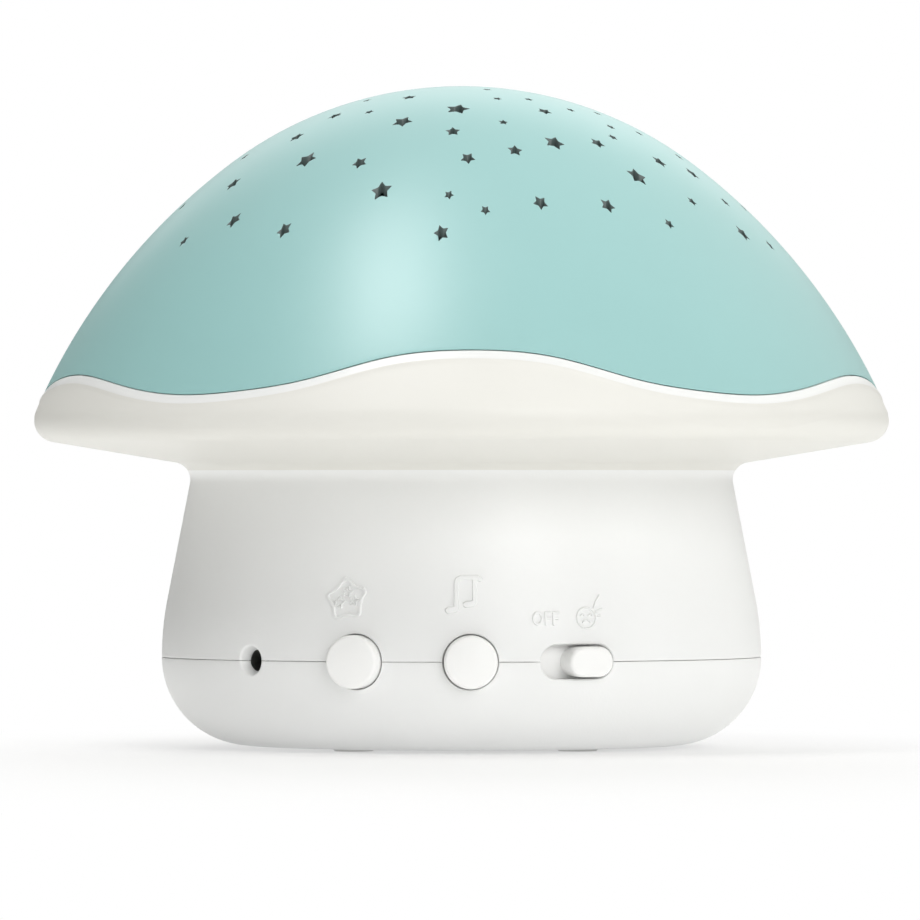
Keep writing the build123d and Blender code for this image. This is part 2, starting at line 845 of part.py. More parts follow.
def board_block(azimuth, front, width, depth, height):
    """A part body that stands on the board with its front face at a reach."""
    with BuildPart() as block:
        with BuildSketch(radial_plane(azimuth, front, board_top)):
            Rectangle(width, height, align=(Align.CENTER, Align.MIN))
        extrude(amount=-depth)
    return block.part


def press_switch(azimuth):
    """Side-acting push switch body with the bore for its plunger."""
    with BuildPart() as switch:
        add(board_block(azimuth, switch_front, *switch_body))
        with BuildSketch(radial_plane(azimuth, switch_front, split_height)):
            Circle(plunger_radius + screw_gap)
        extrude(amount=-plunger_hole, mode=Mode.SUBTRACT)
    return switch.part


def press_plunger(azimuth):
    """Round plunger that the button pushes into its switch."""
    with BuildPart() as plunger:
        with BuildSketch(radial_plane(azimuth, plunger_back, split_height)):
            Circle(plunger_radius)
        extrude(amount=button_back - plunger_back)
    return plunger.part


def press_button(azimuth):
    """Round cap with a retaining flange, a crowned face and a post for the plunger."""
    with BuildPart() as button:
        with BuildSketch(section_plane(azimuth, split_height)):
            with BuildLine():
                Polyline(
                    (button_face - button_crown, button_radius),
                    (flange_front, button_radius),
                    (flange_front, button_flange),
                    (flange_front - flange_thickness, button_flange),
                    (flange_front - flange_thickness, button_post),
                    (button_back, button_post),
                    (button_back, 0),
                    (button_face, 0),
                )
                ThreePointArc(
                    (button_face, 0),
                    (button_face - button_crown / 4, button_radius / 2),
                    (button_face - button_crown, button_radius),
                )
            make_face()
        revolve(axis=radial_axis(azimuth, split_height))
        rims = button.edges().filter_by(GeomType.CIRCLE)
        rims = rims.filter_by(lambda e: abs(e.radius - button_radius) < 0.01)
        outward = radial_axis(azimuth, split_height)
        fillet(rims.sort_by(outward)[-1], radius=button_round)
    return button.part


for name, azimuth in (("star", star_azimuth), ("music", music_azimuth)):
    switch_part = press_switch(azimuth)
    switch_part.label = f"{name}_switch_body"
    export_step(switch_part, f"parts/{name}_switch_body.step")
    plunger_part = press_plunger(azimuth)
    plunger_part.label = f"{name}_switch_plunger"
    export_step(plunger_part, f"parts/{name}_switch_plunger.step")
    button_part = press_button(azimuth)
    button_part.label = f"{name}_button"
    export_step(button_part, f"parts/{name}_button.step")

# ---- Mode slider: knob on a sliding shutter, and the slide switch behind it --------------
rest_offset = slider_travel / 2
with BuildPart() as mode_knob:
    with BuildSketch(radial_plane(slider_azimuth, shutter_face - slide_gap, split_height)):
        with Locations((rest_offset, 0)):
            Rectangle(shutter[0], shutter[1])
    extrude(amount=-shutter[2])
    with BuildSketch(radial_plane(slider_azimuth, shutter_face - slide_gap, split_height)):
        with Locations((rest_offset, 0)):
            SlotOverall(knob_length, knob_height)
    extrude(amount=base_radius + knob_proud - shutter_face)
    outward = radial_axis(slider_azimuth, split_height)
    fillet(mode_knob.faces().sort_by(outward)[-1].edges(), radius=knob_round)
    with BuildSketch(radial_plane(slider_azimuth, shutter_back, split_height)):
        with Locations((rest_offset, 0)):
            Rectangle(fork_width, fork_height)
            Rectangle(lever_width + 2 * screw_gap, fork_height, mode=Mode.SUBTRACT)
    extrude(amount=-fork_depth)
mode_knob.part.label = "mode_knob"
export_step(mode_knob.part, "parts/mode_knob.step")

with BuildPart() as slide_switch_lever:
    with BuildSketch(radial_plane(slider_azimuth, shutter_back - screw_gap, split_height)):
        with Locations((rest_offset, 0)):
            Rectangle(lever_width, lever_width)
    extrude(amount=-lever_length)
slide_switch_lever.part.label = "slide_switch_lever"
export_step(slide_switch_lever.part, "parts/slide_switch_lever.step")

with BuildPart() as slide_switch_body:
    add(board_block(slider_azimuth, slide_switch_front, *slide_body))
    with BuildSketch(radial_plane(slider_azimuth, slide_switch_front, split_height)):
        Rectangle(lever_width + slider_travel + 2 * fit_gap, lever_width + 2 * fit_gap)
    extrude(amount=-slide_hole, mode=Mode.SUBTRACT)
slide_switch_body.part.label = "slide_switch_body"
export_step(slide_switch_body.part, "parts/slide_switch_body.step")

# ---- Charger jack ------------------------------------------------------------------------
with BuildPart() as dc_jack_body:
    add(board_block(jack_azimuth, jack_face, jack_size[0], jack_size[2], jack_size[1]))
    with BuildSketch(radial_plane(jack_azimuth, jack_face, split_height)):
        Circle(jack_nose)
    extrude(amount=jack_nose_length)
    with BuildSketch(radial_plane(jack_azimuth, jack_tip, split_height)):
        Circle(jack_bore)
        Circle(jack_pin_radius, mode=Mode.SUBTRACT)
    extrude(amount=-jack_depth, mode=Mode.SUBTRACT)
    with BuildSketch(radial_plane(jack_azimuth, jack_tip, split_height)):
        Circle(jack_pin_radius)
    extrude(amount=-jack_depth, mode=Mode.SUBTRACT)
dc_jack_body.part.label = "dc_jack_body"
export_step(dc_jack_body.part, "parts/dc_jack_body.step")

with BuildPart() as dc_jack_pin:
    with BuildSketch(radial_plane(jack_azimuth, jack_tip - jack_depth, split_height)):
        Circle(jack_pin_radius)
    extrude(amount=jack_pin_length)
dc_jack_pin.part.label = "dc_jack_pin"
export_step(dc_jack_pin.part, "parts/dc_jack_pin.step")

# ---- Chip and capacitor ------------------------------------------------------------------
with BuildPart() as sound_chip:
    with BuildSketch(Plane.XY.offset(board_top)):
        with Locations(chip_place):
            RectangleRounded(chip[0], chip[1], chip_corner)
    extrude(amount=chip[2])
sound_chip.part.label = "sound_chip"
export_step(sound_chip.part, "parts/sound_chip.step")

with BuildPart() as capacitor:
    with BuildSketch(Plane.XY.offset(board_top)):
        with Locations(capacitor_place):
            Circle(capacitor_radius)
    extrude(amount=capacitor_height)
    chamfer(capacitor.edges().group_by(Axis.Z)[-1], length=capacitor_edge)
capacitor.part.label = "capacitor"
export_step(capacitor.part, "parts/capacitor.step")

# ---- Light deck, lamp board and lamps ----------------------------------------------------
with BuildPart() as light_deck:
    with BuildSketch(section_plane(0, 0)):
        Polygon(
            (0, post_top),
            (post_radius, post_top),
            (post_foot, deck_height + deck_thickness),
            (deck_radius, deck_height + deck_thickness),
            (deck_radius, deck_height),
            (post_foot - deck_thickness / 2, deck_height),
            (post_radius - deck_thickness / 2, post_top - deck_thickness),
            (0, post_top - deck_thickness),
            align=None,
        )
    revolve(axis=Axis.Z)
    with BuildSketch(Plane.XY.offset(deck_height)):
        with PolarLocations(deck_screw_reach, 4):
            Circle(through_radius)
    extrude(amount=deck_thickness, mode=Mode.SUBTRACT)
    with BuildSketch(Plane.XY.offset(post_top)):
        with Locations((-led_screw_reach, 0), (led_screw_reach, 0)):
            Circle(pilot_radius)
        with Locations((0, led_screw_reach)):
            Circle(vent_radius)
    extrude(amount=-deck_thickness, mode=Mode.SUBTRACT)
light_deck.part.label = "light_deck"
export_step(light_deck.part, "parts/light_deck.step")

with BuildPart() as led_board:
    with BuildSketch(Plane.XY.offset(post_top)):
        Circle(led_board_radius)
        with Locations((-led_screw_reach, 0), (led_screw_reach, 0)):
            Circle(through_radius, mode=Mode.SUBTRACT)
    extrude(amount=led_board_thickness)
led_board.part.label = "led_board"
export_step(led_board.part, "parts/led_board.step")

with BuildPart() as projector_leds:
    led_foot = post_top + led_board_thickness
    for third in range(3):
        with BuildSketch(Plane.XY.offset(led_foot)):
            with Locations(polar(led_pitch, third * 120)):
                Circle(led_rim)
        extrude(amount=led_rim_height)
        with BuildSketch(Plane.XY.offset(led_foot)):
            with Locations(polar(led_pitch, third * 120)):
                Circle(led_radius)
        extrude(amount=led_body)
        with Locations((*polar(led_pitch, third * 120), led_foot + led_body)):
            Sphere(led_radius)
projector_leds.part.label = "projector_leds"
export_step(projector_leds.part, "parts/projector_leds.step")

# ---- Speaker and microphone --------------------------------------------------------------
speaker_back = speaker_plane - speaker_depth
cone_radius = speaker_radius - speaker_rim
cone_back = speaker_back + basket_wall + cone_gap
with BuildPart() as speaker_basket:
    with BuildSketch(section_plane(180, speaker_height)):
        Polygon(
            (speaker_plane, speaker_radius),
            (speaker_plane, cone_radius),
            (speaker_plane - basket_wall, cone_radius),
            (speaker_back + basket_wall, magnet_radius - basket_wall),
            (speaker_back + basket_wall, 0),
            (speaker_back, 0),
            (speaker_back, magnet_radius),
            (speaker_plane - 1.5 * basket_wall, speaker_radius),
            align=None,
        )
    revolve(axis=radial_axis(180, speaker_height))
speaker_basket.part.label = "speaker_basket"
export_step(speaker_basket.part, "parts/speaker_basket.step")

with BuildPart() as speaker_cone:
    with BuildSketch(section_plane(180, speaker_height)):
        Polygon(
            (speaker_plane, cone_radius),
            (speaker_plane - cone_thickness, cone_radius),
            (cone_back, cap_radius),
            (cone_back + cap_rise, 0),
            (cone_back + cap_rise + cone_thickness, 0),
            (cone_back + cone_thickness, cap_radius),
            (speaker_plane, cone_radius - 2 * cone_thickness),
            align=None,
        )
    revolve(axis=radial_axis(180, speaker_height))
speaker_cone.part.label = "speaker_cone"
export_step(speaker_cone.part, "parts/speaker_cone.step")

with BuildPart() as speaker_magnet:
    with BuildSketch(radial_plane(180, speaker_back, speaker_height)):
        Circle(magnet_radius)
    extrude(amount=-magnet_depth)
speaker_magnet.part.label = "speaker_magnet"
export_step(speaker_magnet.part, "parts/speaker_magnet.step")

with BuildPart() as microphone:
    with BuildSketch(radial_plane(mic_azimuth, mic_seat, mic_height)):
        Circle(mic_radius)
    extrude(amount=mic_depth)
microphone.part.label = "microphone"
export_step(microphone.part, "parts/microphone.step")
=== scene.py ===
# %% [markdown]
# # Star night light
# A mushroom-shaped projector lamp for a child's room. A painted dome pierced with stars stands
# in the wavy lip of a white brim, and the brim sits on a waisted stem and a battery base with
# its controls.
#
# Every shell of this lamp is a turned form: one outline goes round one upright axis. So each
# shell below is an outline written as numbers in millimetres, swept round as a grid of points
# with numpy. Holes are cut afterwards with a solid of their own, because a grid can't end in a
# star.

from math import cos, degrees, hypot, radians, sin, sqrt

import bpy
import numpy as np
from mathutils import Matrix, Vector


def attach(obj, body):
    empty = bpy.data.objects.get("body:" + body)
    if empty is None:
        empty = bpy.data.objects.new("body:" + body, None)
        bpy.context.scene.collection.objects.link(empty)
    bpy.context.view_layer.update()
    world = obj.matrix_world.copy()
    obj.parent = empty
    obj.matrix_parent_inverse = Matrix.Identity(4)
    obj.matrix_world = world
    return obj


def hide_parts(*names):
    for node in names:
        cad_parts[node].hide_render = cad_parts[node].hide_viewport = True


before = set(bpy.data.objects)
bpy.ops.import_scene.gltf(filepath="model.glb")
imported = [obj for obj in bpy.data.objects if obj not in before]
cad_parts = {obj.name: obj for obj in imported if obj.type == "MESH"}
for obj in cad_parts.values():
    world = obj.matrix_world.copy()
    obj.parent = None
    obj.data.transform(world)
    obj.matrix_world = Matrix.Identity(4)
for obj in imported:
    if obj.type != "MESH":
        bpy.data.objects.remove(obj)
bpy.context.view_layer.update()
MM = 0.001

# %% [markdown]
# ## The outline of the whole lamp
# The outline is eight runs, each leading into the next: the crown, the flank, the rolled rim,
# the sloping underside, the neck fillet, the stem, the belly and the foot of the base. A
# spline through many points could follow it too, but arcs keep the skin free of ripples, and a
# satin surface shows any ripple.

# %% Sizes of the outline, in millimetres
CAP_TOP, CROWN_RADIUS, CROWN_SWEEP, FLANK_RADIUS = 132.0, 76.5, 37.0, 123.5
BRIM_RADIUS, BRIM_ROLL = 85.4, 4.5
NECK_RADIUS, NECK_HEIGHT, NECK_FILLET = 54.2, 56.2, 3.5
STEM_TAPER, BELLY_RADIUS, BASE_RADIUS = 11.0, 60.0, 59.9
SPLIT, UNDER, NECK_JOINT = 18.0, 0.4, 55.2
DOME_WALL, BRIM_WALL, STEM_WALL = 1.5, 2.6, 2.2

# %% Points along an arc or a line
def arc(centre, radius, start, end, steps):
    """Centre plus radius times (cosine, sine), at even angles from start to end degrees."""
    angle = np.radians(np.linspace(start, end, steps))
    return np.array(centre) + radius * np.stack([np.cos(angle), np.sin(angle)], axis=1)


def line(start, end, steps):
    """Start plus a growing share of the way to the end."""
    share = np.linspace(0, 1, steps)[:, None]
    return np.array(start) * (1 - share) + np.array(end) * share


# %% Centres where the arcs run into each other
crown_z = CAP_TOP - CROWN_RADIUS
flank_reach = -(FLANK_RADIUS - CROWN_RADIUS) * sin(radians(CROWN_SWEEP))
flank_z = crown_z - (FLANK_RADIUS - CROWN_RADIUS) * cos(radians(CROWN_SWEEP))
roll_reach = BRIM_RADIUS - BRIM_ROLL
roll_z = flank_z + sqrt((FLANK_RADIUS - BRIM_ROLL) ** 2 - (roll_reach - flank_reach) ** 2)
roll_start = degrees(np.arctan2(roll_reach - flank_reach, roll_z - flank_z))
under_run = hypot(roll_reach - NECK_RADIUS, roll_z - NECK_HEIGHT)
under_slope = degrees(
    np.arctan2(roll_z - NECK_HEIGHT, roll_reach - NECK_RADIUS) - np.arcsin(BRIM_ROLL / under_run)
)
belly_z = SPLIT + BELLY_RADIUS * sin(radians(STEM_TAPER))
belly_reach = BASE_RADIUS - BELLY_RADIUS
stem_foot = belly_reach + BELLY_RADIUS * cos(radians(STEM_TAPER))
foot_round = SPLIT - UNDER
neck_top = stem_foot - (NECK_HEIGHT - belly_z) * np.tan(radians(STEM_TAPER))
print(f"rim arc centre {roll_reach:.2f}, {roll_z:.2f}; stem foot {stem_foot:.2f} at {belly_z:.2f}")

# %% The neck fillet touches the underside and the stem
under_turn, stem_turn = radians(under_slope), radians(STEM_TAPER)
under_way = np.array([cos(under_turn), sin(under_turn)])
stem_way = np.array([sin(stem_turn), -cos(stem_turn)])
neck_corner = np.array([neck_top, NECK_HEIGHT])
neck_half = np.arccos(under_way @ stem_way) / 2
neck_run = NECK_FILLET / np.tan(neck_half)
neck_middle = (under_way + stem_way) / np.linalg.norm(under_way + stem_way)
neck_centre = neck_corner + neck_middle * NECK_FILLET / sin(neck_half)
neck_start, neck_end = neck_corner + under_way * neck_run, neck_corner + stem_way * neck_run
fillet_start = degrees(np.arctan2(*(neck_start - neck_centre)[::-1]))
fillet_end = degrees(np.arctan2(*(neck_end - neck_centre)[::-1])) % 360
print(f"neck fillet from {np.round(neck_start, 2)} to {np.round(neck_end, 2)}")

# %% The whole outline as one run of points, from the crown to the foot
CROWN_STEPS, FLANK_STEPS = 200, 240
roll_end = (roll_reach + BRIM_ROLL * sin(under_turn), roll_z - BRIM_ROLL * cos(under_turn))
outline = np.concatenate([
    arc((0, crown_z), CROWN_RADIUS, 90, 90 - CROWN_SWEEP, CROWN_STEPS),
    arc((flank_reach, flank_z), FLANK_RADIUS, 90 - CROWN_SWEEP, 90 - roll_start, FLANK_STEPS)[1:],
    arc((roll_reach, roll_z), BRIM_ROLL, 90 - roll_start, under_slope - 90, 120)[1:],
    line(roll_end, neck_start, 60)[1:],
    arc(neck_centre, NECK_FILLET, fillet_start, fillet_end, 50)[1:],
    line(neck_end, (stem_foot, belly_z), 100)[1:],
    arc((belly_reach, SPLIT), BELLY_RADIUS, STEM_TAPER, 0, 60)[1:],
    arc((BASE_RADIUS - foot_round, SPLIT), foot_round, 0, -90, 120)[1:],
])
outline_run = np.concatenate([[0], np.cumsum(np.hypot(*np.diff(outline, axis=0).T))])
slope = np.gradient(outline, outline_run, axis=0)
slope /= np.linalg.norm(slope, axis=1)[:, None]
outward = np.stack([-slope[:, 1], slope[:, 0]], axis=1)
print(f"outline: {outline_run[-1]:.1f} mm long, {outline[:, 0].max():.2f} mm at its widest")

# %% Read the outline by distance along it or by height
def skin(run, inset=0.0):
    """Reach and height at a distance along the outline, moved in from the skin by inset."""
    way = [np.interp(run, outline_run, outline[:, k] - inset * outward[:, k]) for k in (0, 1)]
    return np.stack(way, axis=-1)


def run_at(height, inset=0.0):
    """Distance along the outline where the skin, moved in by inset, has this height."""
    return np.interp(-np.asarray(height), -(outline[:, 1] - inset * outward[:, 1]), outline_run)


def place(reach, azimuth, height):
    """Points from reach, azimuth in degrees from the front towards the right, and height."""
    turn = np.radians(azimuth)
    parts = (reach * np.sin(turn), -reach * np.cos(turn), height)
    return np.stack(np.broadcast_arrays(*parts), axis=-1)


# %% Put a grid of points into a mesh
SHARP_ANGLE = radians(30)


def grid_faces(rows, columns, wrap=False):
    """Corners of every cell of a grid closed across its columns, and down its rows if wrap."""
    down = np.arange(rows if wrap else rows - 1)[:, None] * columns
    across = np.arange(columns)[None, :]
    below, beside = (down + columns) % (rows * columns), (across + 1) % columns
    cells = [down + across, below + across, below + beside, down + beside]
    return np.stack(cells, axis=-1).reshape(-1, 4)


def enclosed(points, faces):
    """Volume in cubic centimetres: a sixth of the sum of each triangle's triple product."""
    fans = [face[[0, k, k + 1]] for face in faces for k in range(1, len(face) - 1)]
    a, b, c = points[np.array(fans)].transpose(1, 0, 2)
    return np.einsum("ij,ij->", a, np.cross(b, c)) / 6000


def new_piece(name, points, faces, coat):
    """A closed mesh object from millimetre points, turned so that its faces point outwards."""
    faces = [np.asarray(face) for face in faces]
    volume = enclosed(points, faces)
    if volume < 0:
        faces = [face[::-1] for face in faces]
    mesh = bpy.data.meshes.new(name)
    mesh.from_pydata((points * MM).tolist(), [], [face.tolist() for face in faces])
    mesh.polygons.foreach_set("use_smooth", [True] * len(faces))
    mesh.set_sharp_from_angle(angle=SHARP_ANGLE)
    mesh.materials.append(coat)
    piece = bpy.data.objects.new(name, mesh)
    bpy.context.scene.collection.objects.link(piece)
    print(f"{name}: {len(points)} points, {abs(volume):.2f} cm3")
    return piece


def with_poles(name, rings, tips, coat):
    """Close a grid of rings with a fan of triangles to a tip at either end."""
    rows, columns = rings.shape[:2]
    points = rings.reshape(-1, 3)
    here = np.arange(columns)
    beside, last_ring = (here + 1) % columns, len(points) - columns
    first_tip, last_tip = np.full(columns, len(points)), np.full(columns, len(points) + 1)
    first_fan = np.stack([first_tip, here, beside], axis=1)
    last_fan = np.stack([last_ring + here, last_tip, last_ring + beside], axis=1)
    faces = [*grid_faces(rows, columns), *first_fan, *last_fan]
    return new_piece(name, np.concatenate([points, tips]), faces, coat)


def turned(name, profile, azimuths, poles, coat):
    """Sweep rows of (reach, height) round the axis; poles shrink the end rows to points."""
    if profile.ndim == 2:
        profile = profile[:, None]
    rows, columns = len(profile), len(azimuths)
    profile = np.broadcast_to(profile, (rows, columns, 2))
    rings = place(profile[..., 0], azimuths, profile[..., 1])
    if poles:
        tips = [[0, 0, profile[0, 0, 1]], [0, 0, profile[-1, 0, 1]]]
        return with_poles(name, rings[1:-1], tips, coat)
    return new_piece(name, rings.reshape(-1, 3), grid_faces(rows, columns, wrap=True), coat)


# %% [markdown]
# ## Cutting holes
# A hole's edge on a moulded part is never a knife edge, and paint rounds it further. So the
# cutter itself flares where it leaves the surface: its rings follow a quarter circle, measured
# from the skin beneath each corner. That gives a rounded edge without a bevel, which would
# trip over the tiny edges of the stars.

# %% A cutter is a stack of rings that follow the skin
FLARE_ANGLES, FLARE_SPREAD, FLARE_LIFT = np.radians([0, 30, 55, 75]), 1.1, 0.6


def flare_levels(edge, depth):
    """Growth and height pairs about the skin: straight up, then round the edge's radius."""
    rounded = [(edge * (1 - np.cos(a)), -edge * (1 - np.sin(a))) for a in FLARE_ANGLES]
    return [(0.0, -depth), *rounded, (edge * FLARE_SPREAD, FLARE_LIFT)]


def cutter(rings):
    """Points and faces of a solid between closed rings of equal counts, with flat ends."""
    rings = np.array(rings)
    levels, corners = rings.shape[:2]
    ends = [np.arange(corners), (levels - 1) * corners + np.arange(corners)[::-1]]
    return rings.reshape(-1, 3), [*grid_faces(levels, corners), *ends]


def carve(piece, parts, coat=None, operation="DIFFERENCE"):
    """Cut solids out of a piece, or add them to it, and keep the result as its mesh."""
    points, faces, start = [], [], 0
    for corners, group in parts:
        way = -1 if enclosed(corners, group) < 0 else 1
        faces += [(face + start)[::way].tolist() for face in group]
        points.append(corners)
        start += len(corners)
    mesh = bpy.data.meshes.new("cutter")
    mesh.from_pydata((np.concatenate(points) * MM).tolist(), [], faces)
    if coat:
        piece.data.materials.append(coat)
        for used in piece.data.materials:
            mesh.materials.append(used)
        mesh.polygons.foreach_set("material_index", [len(mesh.materials) - 1] * len(faces))
    tool = bpy.data.objects.new("cutter", mesh)
    bpy.context.scene.collection.objects.link(tool)
    step = piece.modifiers.new("carve", "BOOLEAN")
    step.operation, step.solver, step.object = operation, "MANIFOLD", tool
    bpy.context.view_layer.update()
    graph = bpy.context.evaluated_depsgraph_get()
    whole = bpy.data.meshes.new_from_object(piece.evaluated_get(graph))
    before = piece.data
    piece.modifiers.clear()
    piece.data = whole
    bpy.data.meshes.remove(before)
    bpy.data.objects.remove(tool)
    whole.name = piece.name
    whole.polygons.foreach_set("use_smooth", [True] * len(whole.polygons))
    whole.set_sharp_from_angle(angle=SHARP_ANGLE)
    print(f"{piece.name}: {len(parts)} cuts, {len(whole.polygons)} faces")

# %% [markdown]
# ## The wavy seam
# The seam is a height for every azimuth. A periodic cubic spline runs through a few chosen
# heights with no corner in slope or bend, which is what the eye checks along a smooth edge.
# Sines could do it as well, but they ripple where the real wave is calm.

# %% Heights that the seam runs through, from the front round one side to the back
WAVE_AZIMUTH = np.array([0, 12, 23, 32, 42, 52, 66, 80, 97, 112, 125, 138, 152, 166, 180.0])
WAVE_HEIGHT = np.array(
    [78.1, 76.6, 72.4, 70.4, 69.7, 71.1, 73.8, 72.8, 70.4, 73.4, 75.2, 73.0, 70.5, 73.6, 77.0]
)
knots = np.concatenate([WAVE_AZIMUTH, 360 - WAVE_AZIMUTH[-2:0:-1]])
levels = np.concatenate([WAVE_HEIGHT, WAVE_HEIGHT[-2:0:-1]])


def seam_height(azimuth):
    """Cubic spline: a span blends its end heights and bends; slopes match at every knot."""
    count = len(knots)
    gap = np.diff(np.append(knots, 360))
    rise = np.diff(np.append(levels, levels[0])) / gap
    here = np.arange(count)
    system = np.zeros((count, count))
    system[here, here - 1] = np.roll(gap, 1)
    system[here, here] = 2 * (gap + np.roll(gap, 1))
    system[here, (here + 1) % count] = gap
    bend = np.linalg.solve(system, 6 * (rise - np.roll(rise, 1)))
    azimuth = np.asarray(azimuth) % 360
    span = np.searchsorted(knots, azimuth, side="right") - 1
    after, width = (span + 1) % count, gap[span]
    left = azimuth - knots[span]
    right = width - left
    cubic = (bend[span] * right**3 + bend[after] * left**3) / (6 * width)
    linear = (levels[span] / width - bend[span] * width / 6) * right
    return cubic + linear + (levels[after] / width - bend[after] * width / 6) * left


around = np.linspace(0, 360, 360, endpoint=False)
seam = seam_height(around)
seam_run = run_at(seam)
print(f"seam from {seam.min():.2f} to {seam.max():.2f} mm high")

# %% [markdown]
# ## Finishes
# Every finish is a small tree of nodes on Object coordinates, so it sits still on its piece
# from any side. Moulded plastic needs three things beyond its colour: a fine grain that the
# steel mould leaves, a slow change in gloss from handling and flow, and a trace of colour
# drift. A flat colour with one roughness reads as a computer's grey card.

# %% A finish for moulded, painted and metal surfaces
SLOW_NOISE, GLOSS_SWING = 18, 4


def dialled(node, **values):
    """Set a node's sockets by name, with an underscore for each space, and hand it back."""
    for socket, value in values.items():
        node.inputs[socket.replace("_", " ")].default_value = value
    return node


def finish(name, colour, rough, grain, depth=0.02, drift=0.02, **shader):
    """Noise of grain millimetres bumps the surface; slow noise drifts colour and gloss."""
    material = bpy.data.materials.new(name)
    material.use_nodes = True
    nodes, links = material.node_tree.nodes, material.node_tree.links
    surface = dialled(nodes["Principled BSDF"], **shader)
    where = nodes.new("ShaderNodeTexCoord").outputs["Object"]
    fine = dialled(nodes.new("ShaderNodeTexNoise"), Scale=1 / (grain * MM), Detail=2.0)
    slow = dialled(nodes.new("ShaderNodeTexNoise"), Scale=1 / (SLOW_NOISE * MM), Detail=3.0)
    for noise in (fine, slow):
        links.new(where, noise.inputs["Vector"])
    bump = dialled(nodes.new("ShaderNodeBump"), Distance=depth * MM, Strength=1.0)
    links.new(fine.outputs["Fac"], bump.inputs["Height"])
    links.new(bump.outputs["Normal"], surface.inputs["Normal"])
    gloss = nodes.new("ShaderNodeMapRange")
    swing = GLOSS_SWING * drift
    dialled(gloss, To_Min=rough * (1 - swing), To_Max=rough * (1 + swing))
    links.new(slow.outputs["Fac"], gloss.inputs["Value"])
    links.new(gloss.outputs["Result"], surface.inputs["Roughness"])
    tint = nodes.new("ShaderNodeMix")
    tint.data_type = "RGBA"
    deep = [c * (1 - drift) for c in colour]
    pale = [min(1.0, c * (1 + drift)) for c in colour]
    dialled(tint, A=(*deep, 1), B=(*pale, 1))
    links.new(slow.outputs["Fac"], tint.inputs["Factor"])
    links.new(tint.outputs["Result"], surface.inputs["Base Color"])
    return material


# %% The lamp's finishes, from its shells to its inner parts
teal_paint = finish(
    "teal_satin_paint", (0.30, 0.535, 0.525), 0.38, grain=0.5, depth=0.004, Specular_IOR_Level=0.7
)
ivory = finish("ivory_brim", (0.75, 0.742, 0.70), 0.45, grain=0.6, depth=0.005, drift=0.01)
# The lip's whiter colour is painted highlight on the brim's own plastic; only its lower roughness
# is real
lip_smooth_painted_highlight = finish("lip_smooth_painted_highlight", (0.80, 0.805, 0.795), 0.30, grain=0.6, depth=0.003, drift=0.01)
white_grain = finish("white_grained", (0.85, 0.855, 0.85), 0.40, grain=0.45, drift=0.01)
white_gloss = finish("white_button", (0.92, 0.92, 0.91), 0.34, grain=0.5, depth=0.003, drift=0.01)
# Star walls: a dark colour that paints the shade inside the stars
painted_shade_wall = finish("star_painted_shade", (0.10, 0.135, 0.13), 0.35, grain=0.4, depth=0.01)
dark_lining = finish("dark_lining", (0.012, 0.016, 0.016), 0.7, grain=0.6, depth=0.01)
black_plastic = finish("jack_black", (0.06, 0.062, 0.058), 0.45, grain=0.3, depth=0.01)
rubber = finish("foot_rubber", (0.70, 0.70, 0.685), 0.7, grain=0.3, depth=0.03)
steel = finish("screw_steel", (0.55, 0.55, 0.54), 0.32, grain=0.15, depth=0.006, Metallic=1.0)
nickel = finish("contact_nickel", (0.66, 0.64, 0.60), 0.28, grain=0.2, depth=0.006, Metallic=1.0)
green_board = finish("board_green", (0.02, 0.14, 0.06), 0.35, grain=0.9, drift=0.06)
cell_wrap = finish("cell_wrap", (0.10, 0.16, 0.30), 0.30, grain=0.5, depth=0.003, drift=0.04)
chip_black = finish("chip_black", (0.03, 0.03, 0.032), 0.5, grain=0.25)
paper_cone = finish("paper_cone", (0.05, 0.05, 0.052), 0.85, grain=0.3, depth=0.06, drift=0.05)
lens_clear = finish(
    "lamp_lens", (0.9, 0.93, 0.95), 0.12, grain=0.5, depth=0.002, Transmission_Weight=0.6
)
print("finishes:", len(bpy.data.materials))

# %% [markdown]
# ## Star dome
# The dome is a thin painted shell. Its rows follow the outline from the crown to the seam, and
# because the seam rises and falls, each column stretches its own rows to end on it.

# %% Dome shell as a grid
SEAM_GAP, EDGE_ROUND, DOME_ROWS, LINING_ROWS = 0.05, 0.15, 130, 40
EDGE_SHARES = np.array([0.3, 0.6, 0.85])[:, None, None]


def eased(start, corner, end):
    """Points of a parabola that leaves start towards corner and arrives at end."""
    t = EDGE_SHARES
    return (1 - t) ** 2 * start + 2 * t * (1 - t) * corner + t**2 * end


edge_height = seam + SEAM_GAP
edge_run, lining_run = run_at(edge_height), run_at(edge_height, DOME_WALL)
edge_corner = skin(edge_run)
edge_end = edge_corner - [EDGE_ROUND, 0.0]
skin_rows = skin(np.linspace(0, 1, DOME_ROWS)[:, None] * (edge_run - EDGE_ROUND))
round_rows = eased(skin_rows[-1], edge_corner, edge_end)
lining_rows = skin(np.linspace(1, 0, LINING_ROWS)[:, None] * lining_run, DOME_WALL)
dome_rows = np.concatenate([skin_rows, round_rows, edge_end[None], lining_rows])
dome = turned("star_dome", dome_rows, around, poles=True, coat=teal_paint)

# %% [markdown]
# ## Stars
# Each star is a straight punch down through the shell, as the pins of the mould would make it,
# so the stars near the rim look slender from the front. The walls of a star are coloured dark
# and glossy: painted shade in the hollow of each star. A star's corners are cut twice, which
# rounds them a little.

# %% Star outline and punch
# Waist and mean radius are shares of a star's tip; edge and depth are millimetres
STAR_WAIST, STAR_MEAN, STAR_EDGE, STAR_DEPTH = 0.53, 0.62, 0.07, 6.5
STAR_CUTS = (0.09, 0.22)
LARGEST, LARGE, MEDIUM, SMALL = 2.5, 2.1, 1.5, 0.95
dome_reach, dome_height = outline[:CROWN_STEPS + FLANK_STEPS - 2].T


